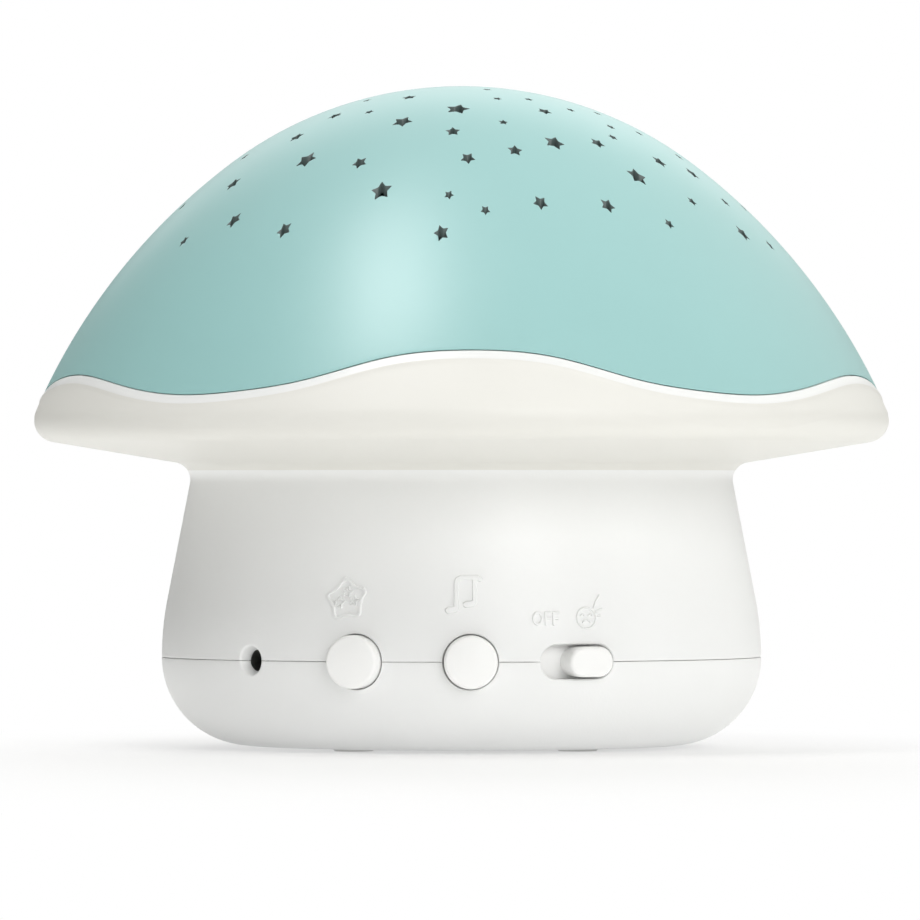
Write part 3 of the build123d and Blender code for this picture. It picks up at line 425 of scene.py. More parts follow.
def star_outline(tip, turn):
    """Ten corners, tip and waist by turns; two points then replace each corner, twice."""
    step = np.arange(10)
    reach = np.where(step % 2 == 0, tip, tip * STAR_WAIST)
    angle = np.radians(step * 36.0 + turn)
    ring = np.stack([reach * np.sin(angle), -reach * np.cos(angle)], axis=1)
    for share in STAR_CUTS:
        ahead = np.roll(ring, -1, axis=0)
        pair = [ring * (1 - share) + ahead * share, ring * share + ahead * (1 - share)]
        ring = np.stack(pair, axis=1).reshape(-1, 2)
    return ring


def star_punch(reach, azimuth, tip, turn):
    """Rings of a star that follow the dome's skin from below, growing round its edge."""
    centre = place(reach, azimuth, 0.0)[:2]
    shape = star_outline(tip, turn)
    rings = []
    for grow, rise in flare_levels(STAR_EDGE, STAR_DEPTH):
        flat = centre + shape * (1 + grow / (STAR_MEAN * tip))
        height = np.interp(np.hypot(*flat.T), dome_reach, dome_height) + rise
        rings.append(np.column_stack([flat, height]))
    return cutter(rings)


# %% Where the stars are: reach, azimuth, tip radius and turn
STARS = [
    (13.3, 21, SMALL, 0), (21.1, -31, MEDIUM, 36), (22.3, -59, SMALL, 10), (22.4, 17, SMALL, 20),
    (22.4, 35, SMALL, 30), (29.0, -3, LARGEST, 20), (29.7, 32, MEDIUM, 12), (29.9, -39, SMALL, 0),
    (31.1, -55, MEDIUM, 50), (28.4, 48, SMALL, 24), (29.4, 65, SMALL, 0), (34.8, -21, LARGE, 0),
    (35.1, 12, SMALL, 36), (35.8, 54, SMALL, 14), (37.6, 68, SMALL, 30), (38.7, -4, MEDIUM, 36),
    (39.5, -57, MEDIUM, 8), (39.8, 47, SMALL, 0), (42.0, 38, MEDIUM, 20), (42.2, 24, LARGE, 28),
    (44.7, 12, MEDIUM, 36), (44.8, 73, SMALL, 5), (44.9, -75, SMALL, 0), (46.8, -42, LARGE, 62),
    (46.8, 55, MEDIUM, 40), (46.9, 0, MEDIUM, 5), (47.9, -26, MEDIUM, 50), (49.4, 66, MEDIUM, 20),
    (50.9, 41, LARGE, 55), (52.2, -61, MEDIUM, 15), (54.7, -18, LARGE, 32), (55.7, -4, SMALL, 8),
    (56.0, 67, SMALL, 0), (56.3, 52, SMALL, 36), (56.6, -80, SMALL, 12), (56.8, 80, SMALL, 30),
    (57.3, 14, MEDIUM, 4), (57.7, 28, MEDIUM, 26), (58.9, 3, SMALL, 2), (60.3, -49, MEDIUM, 45),
    (61.1, 40, SMALL, 18), (62.4, -35, MEDIUM, 40), (62.4, 61, MEDIUM, 30), (63.2, -5, MEDIUM, 50),
    (63.9, -60, SMALL, 10), (64.3, 70, SMALL, 22),
]
punches = [
    star_punch(reach, azimuth + half, tip, turn + half)
    for half in (0, 180)
    for reach, azimuth, tip, turn in STARS
]
# The cut walls of the stars take the dark painted shade
carve(dome, punches, painted_shade_wall)
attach(dome, "housing")
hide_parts("dome_shell")

# %% [markdown]
# ## Brim with its wavy lip
# The brim is one shell: a tongue that the dome slips over, a lip along the seam, then the
# flank, the rolled rim and the underside down to the neck. The lip is a narrow bead: it leans
# back towards the dome, so it catches light from above, and turns in under itself at its foot.
# The bead is smoother than the flank below, and it is coloured whiter: painted highlight on the
# same plastic. It keeps its width all along the wave, so its rows are counted in millimetres
# from the seam and only the rows below it stretch.

# %% Brim shell as a grid
TONGUE_INSET, TONGUE_THICK, TONGUE_RISE, TONGUE_DROP = DOME_WALL + 0.15, 1.3, 2.6, 3.0
TONGUE_ROWS, FLANK_ROWS, INSIDE_ROWS = 3, 150, 50
FLANGE_HOLE, LINING_DROP = 40.0, 3.6
# The lip's rows: millimetres down the skin from the seam, and millimetres in from the skin
LIP = np.array([
    (0.0, 0.22), (0.08, 0.16), (0.2, 0.12), (0.45, 0.06), (0.8, -0.01), (1.15, -0.08),
    (1.5, -0.14), (1.75, -0.17), (1.95, -0.175), (2.1, -0.16), (2.25, -0.13), (2.45, -0.08),
    (2.7, -0.03), (3.05, 0.0), (3.6, 0.01), (4.3, 0.01), (5.3, 0.0), (7.0, 0.0),
])

lip_rows = np.stack([skin(seam_run + run, inset) for run, inset in LIP])
lip_rows[:, :, 1] = np.minimum(lip_rows[:, :, 1], seam)
flank_start, flank_end = seam_run + LIP[-1, 0], run_at(NECK_JOINT)
flank_shares = np.linspace(0, 1, FLANK_ROWS)[1:, None]
flank_rows = skin(flank_start + flank_shares * (flank_end - flank_start))

# %% Its inside, from the neck flange back up to the tongue
def ring_at(height, inset):
    """Reach and height all round, where the skin moved in by inset has a height."""
    return skin(run_at(height, inset), inset)


tongue_top, tongue_back = seam + TONGUE_RISE, TONGUE_INSET + TONGUE_THICK
inside_start = run_at(NECK_JOINT + BRIM_WALL, BRIM_WALL)
inside_end = run_at(seam - LINING_DROP, BRIM_WALL)
inside_shares = np.linspace(0, 1, INSIDE_ROWS)[:, None]
inside_rows = skin(inside_start + inside_shares * (inside_end - inside_start), BRIM_WALL)
flange = np.array([[FLANGE_HOLE, NECK_JOINT], [FLANGE_HOLE, NECK_JOINT + BRIM_WALL]])
brim_rows = np.concatenate([
    [ring_at(tongue_top, tongue_back), ring_at(tongue_top, TONGUE_INSET)],
    [ring_at(seam, TONGUE_INSET)],
    lip_rows,
    flank_rows,
    np.broadcast_to(flange[:, None], (2, len(around), 2)),
    inside_rows,
    [ring_at(seam - TONGUE_DROP, tongue_back)],
])
brim = turned("wavy_brim", brim_rows, around, poles=False, coat=ivory)
# The bead gets a whiter copy of the brim's plastic: painted highlight
brim.data.materials.append(lip_smooth_painted_highlight)
bead_first, bead_last = TONGUE_ROWS - 1, TONGUE_ROWS + int(np.argmin(LIP[:, 1]))
for face in brim.data.polygons[bead_first * len(around):bead_last * len(around)]:
    face.material_index = 1
print("lip faces with painted highlight:", (bead_last - bead_first) * len(around))
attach(brim, "housing")
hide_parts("brim")

# %% [markdown]
# ## Stem and base
# The stem and the base are two shells that meet on a fine line half way up the controls. Both
# are turned from the same outline, with a small round on the edge where they meet, so that the
# line shows as a groove with soft lips. The lip ring inside the stem stands behind the groove
# and keeps light from it.

# %% Sizes of the two shells
SPLIT_GAP, SPLIT_ROUND = 0.09, 0.18
INNER_WALL = BASE_RADIUS - STEM_WALL
DECK_THICK, DECK_HOLE, SPIGOT = 2.4, 30.0, 39.85
LIP_RING_WIDE, LIP_RING_DROP, FIT_GAP = 1.2, 1.6, 0.15
FLOOR_TOP = UNDER + STEM_WALL
STEM_ROWS, STEM_LINING_ROWS, BASE_ROWS, BASE_LINING_ROWS = 130, 60, 110, 70


def wall_edge(height, way):
    """The rounded corner where a shell ends at height; way is 1 from above, -1 from below."""
    run = run_at(height)
    corner = skin(run)[None]
    return eased(skin(run - way * SPLIT_ROUND), corner, corner - [SPLIT_ROUND, 0.0])[:, 0]


# %% Stem shell, cut from its outline
stem_end = SPLIT + SPLIT_GAP / 2
ring_foot, ring_top = SPLIT - LIP_RING_DROP, SPLIT + LIP_RING_DROP
ring_out, ring_in = INNER_WALL - FIT_GAP, INNER_WALL - FIT_GAP - LIP_RING_WIDE
deck_under, spigot_in = NECK_JOINT - DECK_THICK, SPIGOT - DECK_THICK
spigot_top = NECK_JOINT + BRIM_WALL
stem_runs = np.linspace(run_at(NECK_JOINT), run_at(stem_end) - SPLIT_ROUND, STEM_ROWS)
stem_lining_runs = np.linspace(
    run_at(ring_top, STEM_WALL), run_at(deck_under, STEM_WALL), STEM_LINING_ROWS
)
stem_rows = np.concatenate([
    skin(stem_runs),
    wall_edge(stem_end, 1),
    [[BASE_RADIUS - SPLIT_ROUND, stem_end], [ring_out, stem_end]],
    [[ring_out, ring_foot], [ring_in, ring_foot], [ring_in, ring_top]],
    skin(stem_lining_runs, STEM_WALL),
    [[DECK_HOLE, deck_under], [DECK_HOLE, NECK_JOINT]],
    [[spigot_in, NECK_JOINT], [spigot_in, spigot_top], [SPIGOT, spigot_top], [SPIGOT, NECK_JOINT]],
])
stem = turned("stem_wall", stem_rows, around, poles=False, coat=white_grain)
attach(stem, "housing")
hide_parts("stem_shell")

# %% Base shell, from the middle of its inner floor round the rim to the middle of its underside
base_top = SPLIT - SPLIT_GAP / 2
base_lining_runs = np.linspace(outline_run[-1], run_at(base_top, STEM_WALL), BASE_LINING_ROWS)
base_runs = np.linspace(run_at(base_top) + SPLIT_ROUND, outline_run[-1], BASE_ROWS)
base_rows = np.concatenate([
    [[0.0, FLOOR_TOP]],
    skin(base_lining_runs, STEM_WALL),
    [[BASE_RADIUS - SPLIT_ROUND, base_top]],
    wall_edge(base_top, -1)[::-1],
    skin(base_runs),
    [[0.0, UNDER]],
])
base = turned("base_bowl", base_rows, around, poles=True, coat=white_grain)
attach(base, "housing")
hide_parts("base_cup")

# %% [markdown]
# ## Inside of the base
# The underside opens on a bay for three cells, so the base needs its real inside: a box for
# the bay, round columns for the screws and posts for the board. Columns are added one group at
# a time, because solids that overlap inside one cutter confuse the boolean.

# %% Upright solids
def disc(radius, centre=(0.0, 0.0), corners=48):
    """Corners on a circle."""
    angle = np.linspace(0, 2 * np.pi, corners, endpoint=False)
    return np.array(centre) + radius * np.stack([np.cos(angle), np.sin(angle)], axis=1)


def oblong(width, height, centre=(0.0, 0.0), corner=0.5, steps=6):
    """A rectangle whose corners are quarter circles."""
    half = np.array([width / 2 - corner, height / 2 - corner])
    quarters = [(1, 1, 0), (-1, 1, 90), (-1, -1, 180), (1, -1, 270)]
    return np.concatenate([
        arc(half * [sx, sy] + centre, corner, turn, turn + 90, steps) for sx, sy, turn in quarters
    ])


def upright(shape, low, high):
    """A solid of one flat shape from a low height to a high one."""
    return cutter([np.insert(shape, 2, height, axis=1) for height in (low, high)])


def round_solids(spots, radius, low, high, corners=48):
    """An upright round solid on each of the spots."""
    return [upright(disc(radius, spot, corners), low, high) for spot in spots]


# %% Bay, columns and wells
BOSSES, EAR = [(-22.0, -31.0), (22.0, -31.0), (-34.5, 18.0), (34.5, 18.0)], (0.0, -21.8)
POSTS = [(-38.5, -24.0), (0.0, -31.5), (38.5, -24.0)]
BAY_MIDDLE, BAY_LENGTH, BAY_WIDTH, BAY_WALL, BAY_ROOF = (0.0, 5.0), 56.0, 44.8, 2.0, 17.5
BAY_CORNER, BOX_CORNER, DOOR_CORNER = 1.0, 2.0, 0.3
DOOR_TOP, DOOR_LEDGE, EAR_RADIUS, BOARD_UNDER, HEAD_SEAT = UNDER + 1.6, 1.2, 5.5, 12.4, 11.0
FOOT_ROOF, BOARD_PILOT, DOOR_PILOT, NECK_SCREW_REACH = UNDER + 1.6, 6.0, 8.0, 46.0
BOSS_RADIUS, POST_RADIUS, THROUGH, PILOT, HEAD_WELL, FOOT_WELL = 3.8, 3.2, 1.7, 1.5, 2.95, 4.35
# How far a cutter reaches past what it cuts
PAST = 1.0


def bay_shape(margin, corner):
    """The bay's outline, grown by a margin on every side."""
    return oblong(BAY_LENGTH + 2 * margin, BAY_WIDTH + 2 * margin, BAY_MIDDLE, corner)


below = UNDER - PAST
for added in (
    [upright(bay_shape(BAY_WALL, BOX_CORNER), DOOR_TOP, BAY_ROOF + BAY_WALL)],
    round_solids(BOSSES, BOSS_RADIUS, DOOR_TOP, base_top),
    round_solids(POSTS, POST_RADIUS, DOOR_TOP, BOARD_UNDER),
    round_solids([EAR], POST_RADIUS, DOOR_TOP, BOARD_UNDER),
):
    carve(base, added, operation="UNION")
for taken in (
    [upright(bay_shape(DOOR_LEDGE, DOOR_CORNER), below, DOOR_TOP)],
    round_solids([EAR], EAR_RADIUS, below, DOOR_TOP, corners=72),
    [upright(bay_shape(0.0, BAY_CORNER), below, BAY_ROOF)],
    round_solids(BOSSES, FOOT_WELL, below, FOOT_ROOF),
    round_solids(BOSSES, HEAD_WELL, below, HEAD_SEAT),
    round_solids(BOSSES, THROUGH, HEAD_SEAT - PAST, SPLIT + PAST),
    round_solids(POSTS, PILOT, BOARD_UNDER - BOARD_PILOT, BOARD_UNDER + PAST),
    round_solids([EAR], PILOT, below, UNDER + DOOR_PILOT),
):
    carve(base, taken)
neck_spots = place(NECK_SCREW_REACH, np.arange(45, 405, 90), 0.0)[:, :2]
carve(stem, round_solids(neck_spots, THROUGH, deck_under - PAST, NECK_JOINT + PAST))

# %% [markdown]
# ## Control openings
# The buttons, the slider and the jack stand on the split line, so every opening is cut into
# both shells with the same cutter. A shape is drawn flat, as if on paper laid against the
# wall, and each of its corners is pushed outwards until it meets the wall. Pockets behind the
# wall make room for the flanges.

# %% Shapes on the wall
JACK_AZIMUTH, SLIDER_AZIMUTH = -45.0, 20.7
BUTTON_AZIMUTHS = {"star_button": -21.7, "music_button": 0.2}
BUTTON_RADIUS, BUTTON_GAP, BUTTON_FLANGE = 5.2, 0.22, 6.8
SLOT_LENGTH, SLOT_HEIGHT = 15.2, 6.7
SHUTTER_LONG, SHUTTER_TALL, SHUTTER_FACE = 20.6, 8.5, BASE_RADIUS - 2.9
SLIDE_GAP, TRAVEL = 0.25, 4.0


def facing(azimuth, right, up, reach):
    """Points so far right of an azimuth, up from the split line and out from the axis."""
    turn = radians(azimuth)
    side, out = np.array([cos(turn), sin(turn)]), np.array([sin(turn), -cos(turn)])
    flat = right[..., None] * side + reach[..., None] * out
    return np.concatenate([flat, (SPLIT + up)[..., None]], axis=-1)


def grown(shape, amount):
    """Push each corner out along the outline's own right-hand normal."""
    ahead = np.roll(shape, -1, axis=0) - np.roll(shape, 1, axis=0)
    ahead /= np.linalg.norm(ahead, axis=1)[:, None]
    return shape + amount * np.stack([ahead[:, 1], -ahead[:, 0]], axis=1)


def on_wall(azimuth, flat, rise):
    """A flat ring of points pushed outwards to the wall, and on by rise."""
    wall = skin(run_at(SPLIT + flat[:, 1]))[:, 0]
    return facing(azimuth, *flat.T, np.sqrt(wall**2 - flat[:, 0] ** 2) + rise)


def wall_punch(shape, azimuth, edge, depth):
    """A cutter through the wall whose rings grow round the opening's edge."""
    levels = flare_levels(edge, depth)
    return cutter([on_wall(azimuth, grown(shape, grow), rise) for grow, rise in levels])


def wall_pocket(shape, azimuth, near, far):
    """A straight pocket of one flat shape between two reaches."""
    return cutter([facing(azimuth, *shape.T, np.full(len(shape), reach)) for reach in (near, far)])


# %% Openings that show, and pockets behind them
BUTTON_EDGE, SLOT_EDGE, PUNCH_DEPTH = 0.3, 0.35, 9.0
POCKET_BACK, POCKET_SKIN = 50.0, 0.1
JACK_WIDE, JACK_TALL, JACK_BACK, JACK_SKIN = 9.3, 8.3, 44.0, 1.2
NOSE_RADIUS, NOSE_BACK, NOSE_SKIN = 2.8, 2.0, 0.12

button_hole = disc(BUTTON_RADIUS + BUTTON_GAP, corners=96)
button_room = disc(BUTTON_FLANGE + SLIDE_GAP)
slot_hole = oblong(SLOT_LENGTH, SLOT_HEIGHT, corner=SLOT_HEIGHT / 2 - 0.001, steps=24)
slot_room = oblong(SHUTTER_LONG + TRAVEL + 2 * SLIDE_GAP, SHUTTER_TALL + 2 * SLIDE_GAP)
jack_room = oblong(JACK_WIDE, JACK_TALL)
openings, pockets = [], []
for azimuth in BUTTON_AZIMUTHS.values():
    openings.append(wall_punch(button_hole, azimuth, BUTTON_EDGE, PUNCH_DEPTH))
    pockets.append(wall_pocket(button_room, azimuth, POCKET_BACK, INNER_WALL - POCKET_SKIN))
openings.append(wall_punch(slot_hole, SLIDER_AZIMUTH, SLOT_EDGE, PUNCH_DEPTH))
pockets.append(wall_pocket(slot_room, SLIDER_AZIMUTH, POCKET_BACK, SHUTTER_FACE + SLIDE_GAP / 2))
pockets.append(wall_pocket(jack_room, JACK_AZIMUTH, JACK_BACK, INNER_WALL - JACK_SKIN))
nose_well = wall_pocket(
    disc(NOSE_RADIUS), JACK_AZIMUTH, INNER_WALL - NOSE_BACK, INNER_WALL - NOSE_SKIN
)

# %% The jack's dish: a small bore, then a cone that opens to the wall
DISH_BORE, DISH_MOUTH = 2.1, 2.8
# Radius, and how far out from the wall
DISH_RINGS = [
    (DISH_BORE, -6.0), (DISH_BORE, -2.05), (DISH_BORE + 0.05, -1.9),
    (DISH_MOUTH - 0.1, -0.5), (DISH_MOUTH, -0.28), (DISH_MOUTH + 0.14, -0.1),
    (DISH_MOUTH + 0.36, 0.0), (DISH_MOUTH + 0.6, 0.5),
]
dish = [on_wall(JACK_AZIMUTH, disc(radius, corners=72), rise) for radius, rise in DISH_RINGS]
openings.append(cutter(dish))
for shell in (stem, base):
    for group in (pockets, [nose_well], openings):
        carve(shell, group)

# %% [markdown]
# ## Speaker grille and sound pinhole
# At the back a field of small round holes lets the loudspeaker out: one in the middle, six
# round it and twelve round those. They are cut like the stars, with softened edges.

# %% Holes at the back
SPEAKER_HEIGHT, GRILLE_HOLE, GRILLE_PITCH = 34.5, 1.2, 4.6
MIC_AZIMUTH, MIC_HEIGHT, MIC_HOLE = 152.0, 32.0, 0.75
BACK_AZIMUTH, BACK_EDGE, BACK_DEPTH, BACK_CORNERS = 180.0, 0.2, 3.4, 28


def back_hole(azimuth, x, height, radius):
    """A small round punch, x millimetres beside the wall's azimuth and at a height."""
    circle = disc(radius, (x, height - SPLIT), BACK_CORNERS)
    return wall_punch(circle, azimuth, BACK_EDGE, BACK_DEPTH)


spots = [(0.0, 0.0)] + [
    tuple(ring * GRILLE_PITCH * np.array([cos(a), sin(a)]))
    for ring in (1, 2)
    for a in np.linspace(0, 2 * np.pi, 6 * ring, endpoint=False)
]
back_holes = [back_hole(BACK_AZIMUTH, x, y + SPEAKER_HEIGHT, GRILLE_HOLE) for x, y in spots]
back_holes.append(back_hole(MIC_AZIMUTH, 0.0, MIC_HEIGHT, MIC_HOLE))
carve(stem, back_holes)

# %% [markdown]
# ## Push buttons
# A button is turned about its own axis, which points out of the wall. Its face is very
# slightly crowned and its edge has a generous round, so it catches one soft crescent of light.

# %% Buttons
BUTTON_FACE, BUTTON_CROWN, BUTTON_ROUND, BUTTON_ROOT = BASE_RADIUS + 2.9, 0.45, 0.75, 58.5
BUTTON_BACK, BUTTON_POST, FLANGE_FRONT, FLANGE_THICK = 53.6, 2.2, INNER_WALL - 0.175, 1.2
FLANGE_BACK = FLANGE_FRONT - FLANGE_THICK


def wall_turned(name, profile, azimuth, coat, columns=128):
    """Sweep rows of (reach, radius) about an axis that points outwards; ends are points."""
    angle = np.linspace(0, 2 * np.pi, columns, endpoint=False)
    middle = profile[1:-1]
    right, up = middle[:, 1:] * np.cos(angle), middle[:, 1:] * np.sin(angle)
    rings = facing(azimuth, right, up, np.broadcast_to(middle[:, :1], right.shape))
    tips = facing(azimuth, np.zeros(2), np.zeros(2), profile[[0, -1], 0])
    return with_poles(name, rings, tips, coat)


crown_radii = np.linspace(0, BUTTON_RADIUS - BUTTON_ROUND, 14)
crown_reach = BUTTON_FACE - BUTTON_CROWN * (crown_radii / BUTTON_RADIUS) ** 2
rim_middle = (crown_reach[-1] - BUTTON_ROUND, BUTTON_RADIUS - BUTTON_ROUND)
button_profile = np.concatenate([
    np.stack([crown_reach, crown_radii], axis=1),
    arc(rim_middle, BUTTON_ROUND, 0, 90, 12)[1:],
    line((BUTTON_ROOT, BUTTON_RADIUS), (FLANGE_FRONT, BUTTON_RADIUS), 3),
    [[FLANGE_FRONT, BUTTON_FLANGE], [FLANGE_BACK, BUTTON_FLANGE], [FLANGE_BACK, BUTTON_POST]],
    [[BUTTON_BACK, BUTTON_POST], [BUTTON_BACK, 0.0]],
])
for body, azimuth in BUTTON_AZIMUTHS.items():
    button = wall_turned(f"{body}_cap", button_profile, azimuth, white_gloss)
    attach(button, body)
    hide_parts(body)

# %% [markdown]
# ## Raised signs
# The signs over the controls are moulded: each stands about 0.4 mm off the wall. A sign is a
# height for every point of a small patch of wall. Outside the sign the patch dips under the
# wall, so only the sign comes out of it. The height comes from the distance to the sign's
# outline, which also gives the soft slope of its sides. Letters as text objects would float on
# the curved wall.

# %% Distances to drawn shapes
SIGN_RISE, SIGN_SUNK, SIGN_ROOT, SIGN_SLOPE = 0.38, 0.08, 0.8, 0.18
TIP_SHARPNESS, STAR_STEEPNESS = 0.22, 0.9


def from_stroke(x, y, points, half):
    """Distance to a run of straight pieces less half its width: the nearest of its pieces."""
    points = np.array(points)
    nearest = np.full(x.shape, np.inf)
    for (ax, ay), (bx, by) in zip(points[:-1], points[1:]):
        dx, dy = bx - ax, by - ay
        share = np.clip(((x - ax) * dx + (y - ay) * dy) / (dx * dx + dy * dy), 0, 1)
        nearest = np.minimum(nearest, np.hypot(x - ax - share * dx, y - ay - share * dy))
    return nearest - half


def from_soft_star(x, y, mean, swing, turn):
    """Distance to a plump star: its radius swings five times round about a mean."""
    angle = np.arctan2(y, x) - radians(turn)
    wave = mean + swing * (np.cos(5 * angle) + TIP_SHARPNESS * np.cos(10 * angle))
    return (np.hypot(x, y) - wave) * STAR_STEEPNESS


def sign(name, away, azimuth, height, width, tall, step=0.07):
    """A closed patch of wall whose face stands up where away(x, y) is below nought."""
    x = np.linspace(-width / 2, width / 2, int(width / step))
    y = np.linspace(-tall / 2, tall / 2, int(tall / step))
    x, y = np.meshgrid(x, y)
    share = np.clip(0.5 - away(x, y) / SIGN_SLOPE, 0, 1)
    rise = -SIGN_SUNK + (SIGN_SUNK + SIGN_RISE) * share**2 * (3 - 2 * share)
    wall = skin(run_at(height + y))[..., 0]
    turn = azimuth + np.degrees(x / wall)
    front = place(wall + rise, turn, height + y)
    back = place(wall - SIGN_ROOT, turn, height + y)
    index = np.arange(x.size).reshape(x.shape)
    cells = [index[:-1, :-1], index[:-1, 1:], index[1:, 1:], index[1:, :-1]]
    face = np.stack(cells, axis=-1).reshape(-1, 4)
    rim = np.concatenate([index[0, :-1], index[:-1, -1], index[-1, :0:-1], index[:0:-1, 0]])
    behind = rim + x.size
    sides = np.stack([rim, behind, np.roll(behind, -1), np.roll(rim, -1)], axis=1)
    faces = [*face, *(face[:, ::-1] + x.size), *sides]
    points = np.concatenate([front, back]).reshape(-1, 3)
    piece = new_piece(name, points, faces, white_grain)
    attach(piece, "housing")


# %% The outline of a plump star with three little stars in it
STAR_SIZE, STAR_SWING, STAR_TURN, STAR_LINE = 3.42, 0.5, 97, 0.27
LITTLE_SIZE, LITTLE_SWING, LITTLE_TURN, LITTLE_LINE = 0.68, 0.2, 80, 0.13
LITTLE_STARS = [(0.15, 1.45, 1.1), (-1.5, -0.6, 1.25), (1.6, -0.25, 1.0)]


def star_sign(x, y):
    """The nearest of the large star's outline and the little ones'."""
    away = np.abs(from_soft_star(x, y, STAR_SIZE, STAR_SWING, STAR_TURN)) - STAR_LINE
    for cx, cy, size in LITTLE_STARS:
        mean, swing = size * LITTLE_SIZE, size * LITTLE_SWING
        little = np.abs(from_soft_star(x - cx, y - cy, mean, swing, LITTLE_TURN)) - LITTLE_LINE
        away = np.minimum(away, little)
    return away


sign("sign_star", star_sign, azimuth=-23.8, height=30.1, width=9.4, tall=9.4)

# %% A pair of beamed notes
NOTE_STROKES = [
    ([(-1.3, -2.8), (-1.3, 2.4), (-1.05, 3.0), (-0.5, 3.3), (2.9, 3.3), (3.3, 3.0)], 0.42),
    ([(2.2, 3.2), (2.2, -1.5)], 0.42),
    ([(-2.8, -3.0), (-1.7, -2.85)], 0.62),
    ([(0.65, -1.85), (1.8, -1.7)], 0.62),
]


def note_sign(x, y):
    """The nearest of the stems, beam and heads."""
    return np.min([from_stroke(x, y, points, half) for points, half in NOTE_STROKES], axis=0)


sign("sign_notes", note_sign, azimuth=-1.2, height=31.0, width=8.4, tall=8.6)

# %% The word OFF at the slider's off end
LETTER_HALF, LETTER_WIDE, O_MIDDLE, O_HALF = 1.12, 0.24, -1.75, 0.85
round_once = arc((0, 0), 1.0, 0, 360, 33)
letter_o = round_once * [O_HALF, LETTER_HALF] + [O_MIDDLE, 0]
OFF_STROKES = [letter_o] + [
    points
    for left in (-0.15, 1.45)
    for points in (
        [(left, -LETTER_HALF), (left, LETTER_HALF), (left + 1.05, LETTER_HALF)],
        [(left, 0.05), (left + 0.85, 0.05)],
    )
]


def off_sign(x, y):
    """The nearest of the strokes of the three letters."""
    return np.min([from_stroke(x, y, points, LETTER_WIDE) for points in OFF_STROKES], axis=0)


sign("sign_off", off_sign, azimuth=14.6, height=26.4, width=6.2, tall=3.6, step=0.06)

# %% A round head that calls out, for the sound setting
HEAD_RADIUS, HEAD_LEFT, HEAD_DOWN = 2.0, 0.8, 1.1
HEAD_STROKES = [
    (HEAD_RADIUS * round_once, 0.17),
    (arc((0, -1.35), 0.95, 35, 145, 9), 0.16),
    (arc((-0.8, 0.25), 0.42, 20, 160, 7), 0.14),
    (arc((0.8, 0.25), 0.42, 20, 160, 7), 0.14),
    ([(1.75, 1.9), (2.2, 3.1), (3.1, 4.3)], 0.17),
    ([(2.15, 1.25), (3.4, 1.75)], 0.17),
    ([(2.5, 0.45), (3.1, 0.45)], 0.17),
]


def head_sign(x, y):
    """The nearest of the ring, the mouth, the eyes and the sound strokes."""
    x, y = x + HEAD_LEFT, y + HEAD_DOWN
    return np.min([from_stroke(x, y, points, half) for points, half in HEAD_STROKES], axis=0)


sign("sign_sound", head_sign, azimuth=23.35, height=27.6, width=7.0, tall=7.4, step=0.06)

# %% [markdown]
# ## Stage, lamps and camera
# The night light stands on a plain white table. A large soft lamp at the upper right front
# lights it, a small one at the right picks out the rim, one overhead lays the soft highlight
# on the dome, a small one fills the upper left, and one behind lights the crown. The table
# fades to pure white away from the night light, so it keeps the shadow and has no horizon.

# %% Table top
def stage_white(name, near, far, least, glow):
    """Lit white, with a least share of plain white that is all of it far off, and a soft glow."""
    material = bpy.data.materials.new(name)
    material.use_nodes = True
    nodes, links = material.node_tree.nodes, material.node_tree.links
    out = nodes["Material Output"]
    surface = dialled(
        nodes["Principled BSDF"], Base_Color=(0.80, 0.80, 0.795, 1), Roughness=0.7,
        Specular_IOR_Level=0.2, Emission_Color=(1, 1, 1, 1),
    )
    where = nodes.new("ShaderNodeTexCoord").outputs["Object"]
    away = nodes.new("ShaderNodeVectorMath")
    away.operation = "LENGTH"
    links.new(where, away.inputs[0])
    fade = dialled(nodes.new("ShaderNodeMapRange"), From_Min=near, From_Max=far, To_Min=least)
    fade.interpolation_type = "SMOOTHSTEP"
    links.new(away.outputs["Value"], fade.inputs["Value"])
    ray = nodes.new("ShaderNodeLightPath")
    seen, unseen = nodes.new("ShaderNodeMath"), nodes.new("ShaderNodeMath")
    seen.operation, unseen.operation = "MULTIPLY", "MULTIPLY_ADD"
    links.new(fade.outputs["Result"], seen.inputs[0])
    links.new(ray.outputs["Is Camera Ray"], seen.inputs[1])
    links.new(ray.outputs["Is Camera Ray"], unseen.inputs[0])
    unseen.inputs[1].default_value, unseen.inputs[2].default_value = -glow, glow
    links.new(unseen.outputs["Value"], surface.inputs["Emission Strength"])
    white = nodes.new("ShaderNodeEmission")
    mix = nodes.new("ShaderNodeMixShader")
    links.new(seen.outputs["Value"], mix.inputs["Fac"])
    links.new(surface.outputs["BSDF"], mix.inputs[1])
    links.new(white.outputs["Emission"], mix.inputs[2])
    links.new(mix.outputs["Shader"], out.inputs["Surface"])
    return material


HALF_TABLE = 3.0
table_mesh = bpy.data.meshes.new("table_top")
table_corners = HALF_TABLE * np.array([(-1, -1, 0), (1, -1, 0), (1, 1, 0), (-1, 1, 0)])
table_mesh.from_pydata(table_corners.tolist(), [], [(0, 1, 2, 3)])
table_mesh.materials.append(stage_white("table_white", near=0.05, far=0.30, least=0.35, glow=0.27))
table_top = bpy.data.objects.new("table_top", table_mesh)
table_top.location, table_top.scale = (0, -0.12, 0), (0.5, 1, 1)
bpy.context.scene.collection.objects.link(table_top)

# %% Lamps
def soft_lamp(name, spot, size, power, aim=(0, 0, 0.07)):
    """A rectangular lamp, size metres wide and tall, at spot and turned to face aim."""
    light = bpy.data.lights.new(name, "AREA")
    light.shape, light.energy = "RECTANGLE", power
    light.size, light.size_y = size
    lamp = bpy.data.objects.new(name, light)
    lamp.location = spot
    lamp.rotation_euler = (Vector(spot) - Vector(aim)).to_track_quat("Z", "Y").to_euler()
    bpy.context.scene.collection.objects.link(lamp)


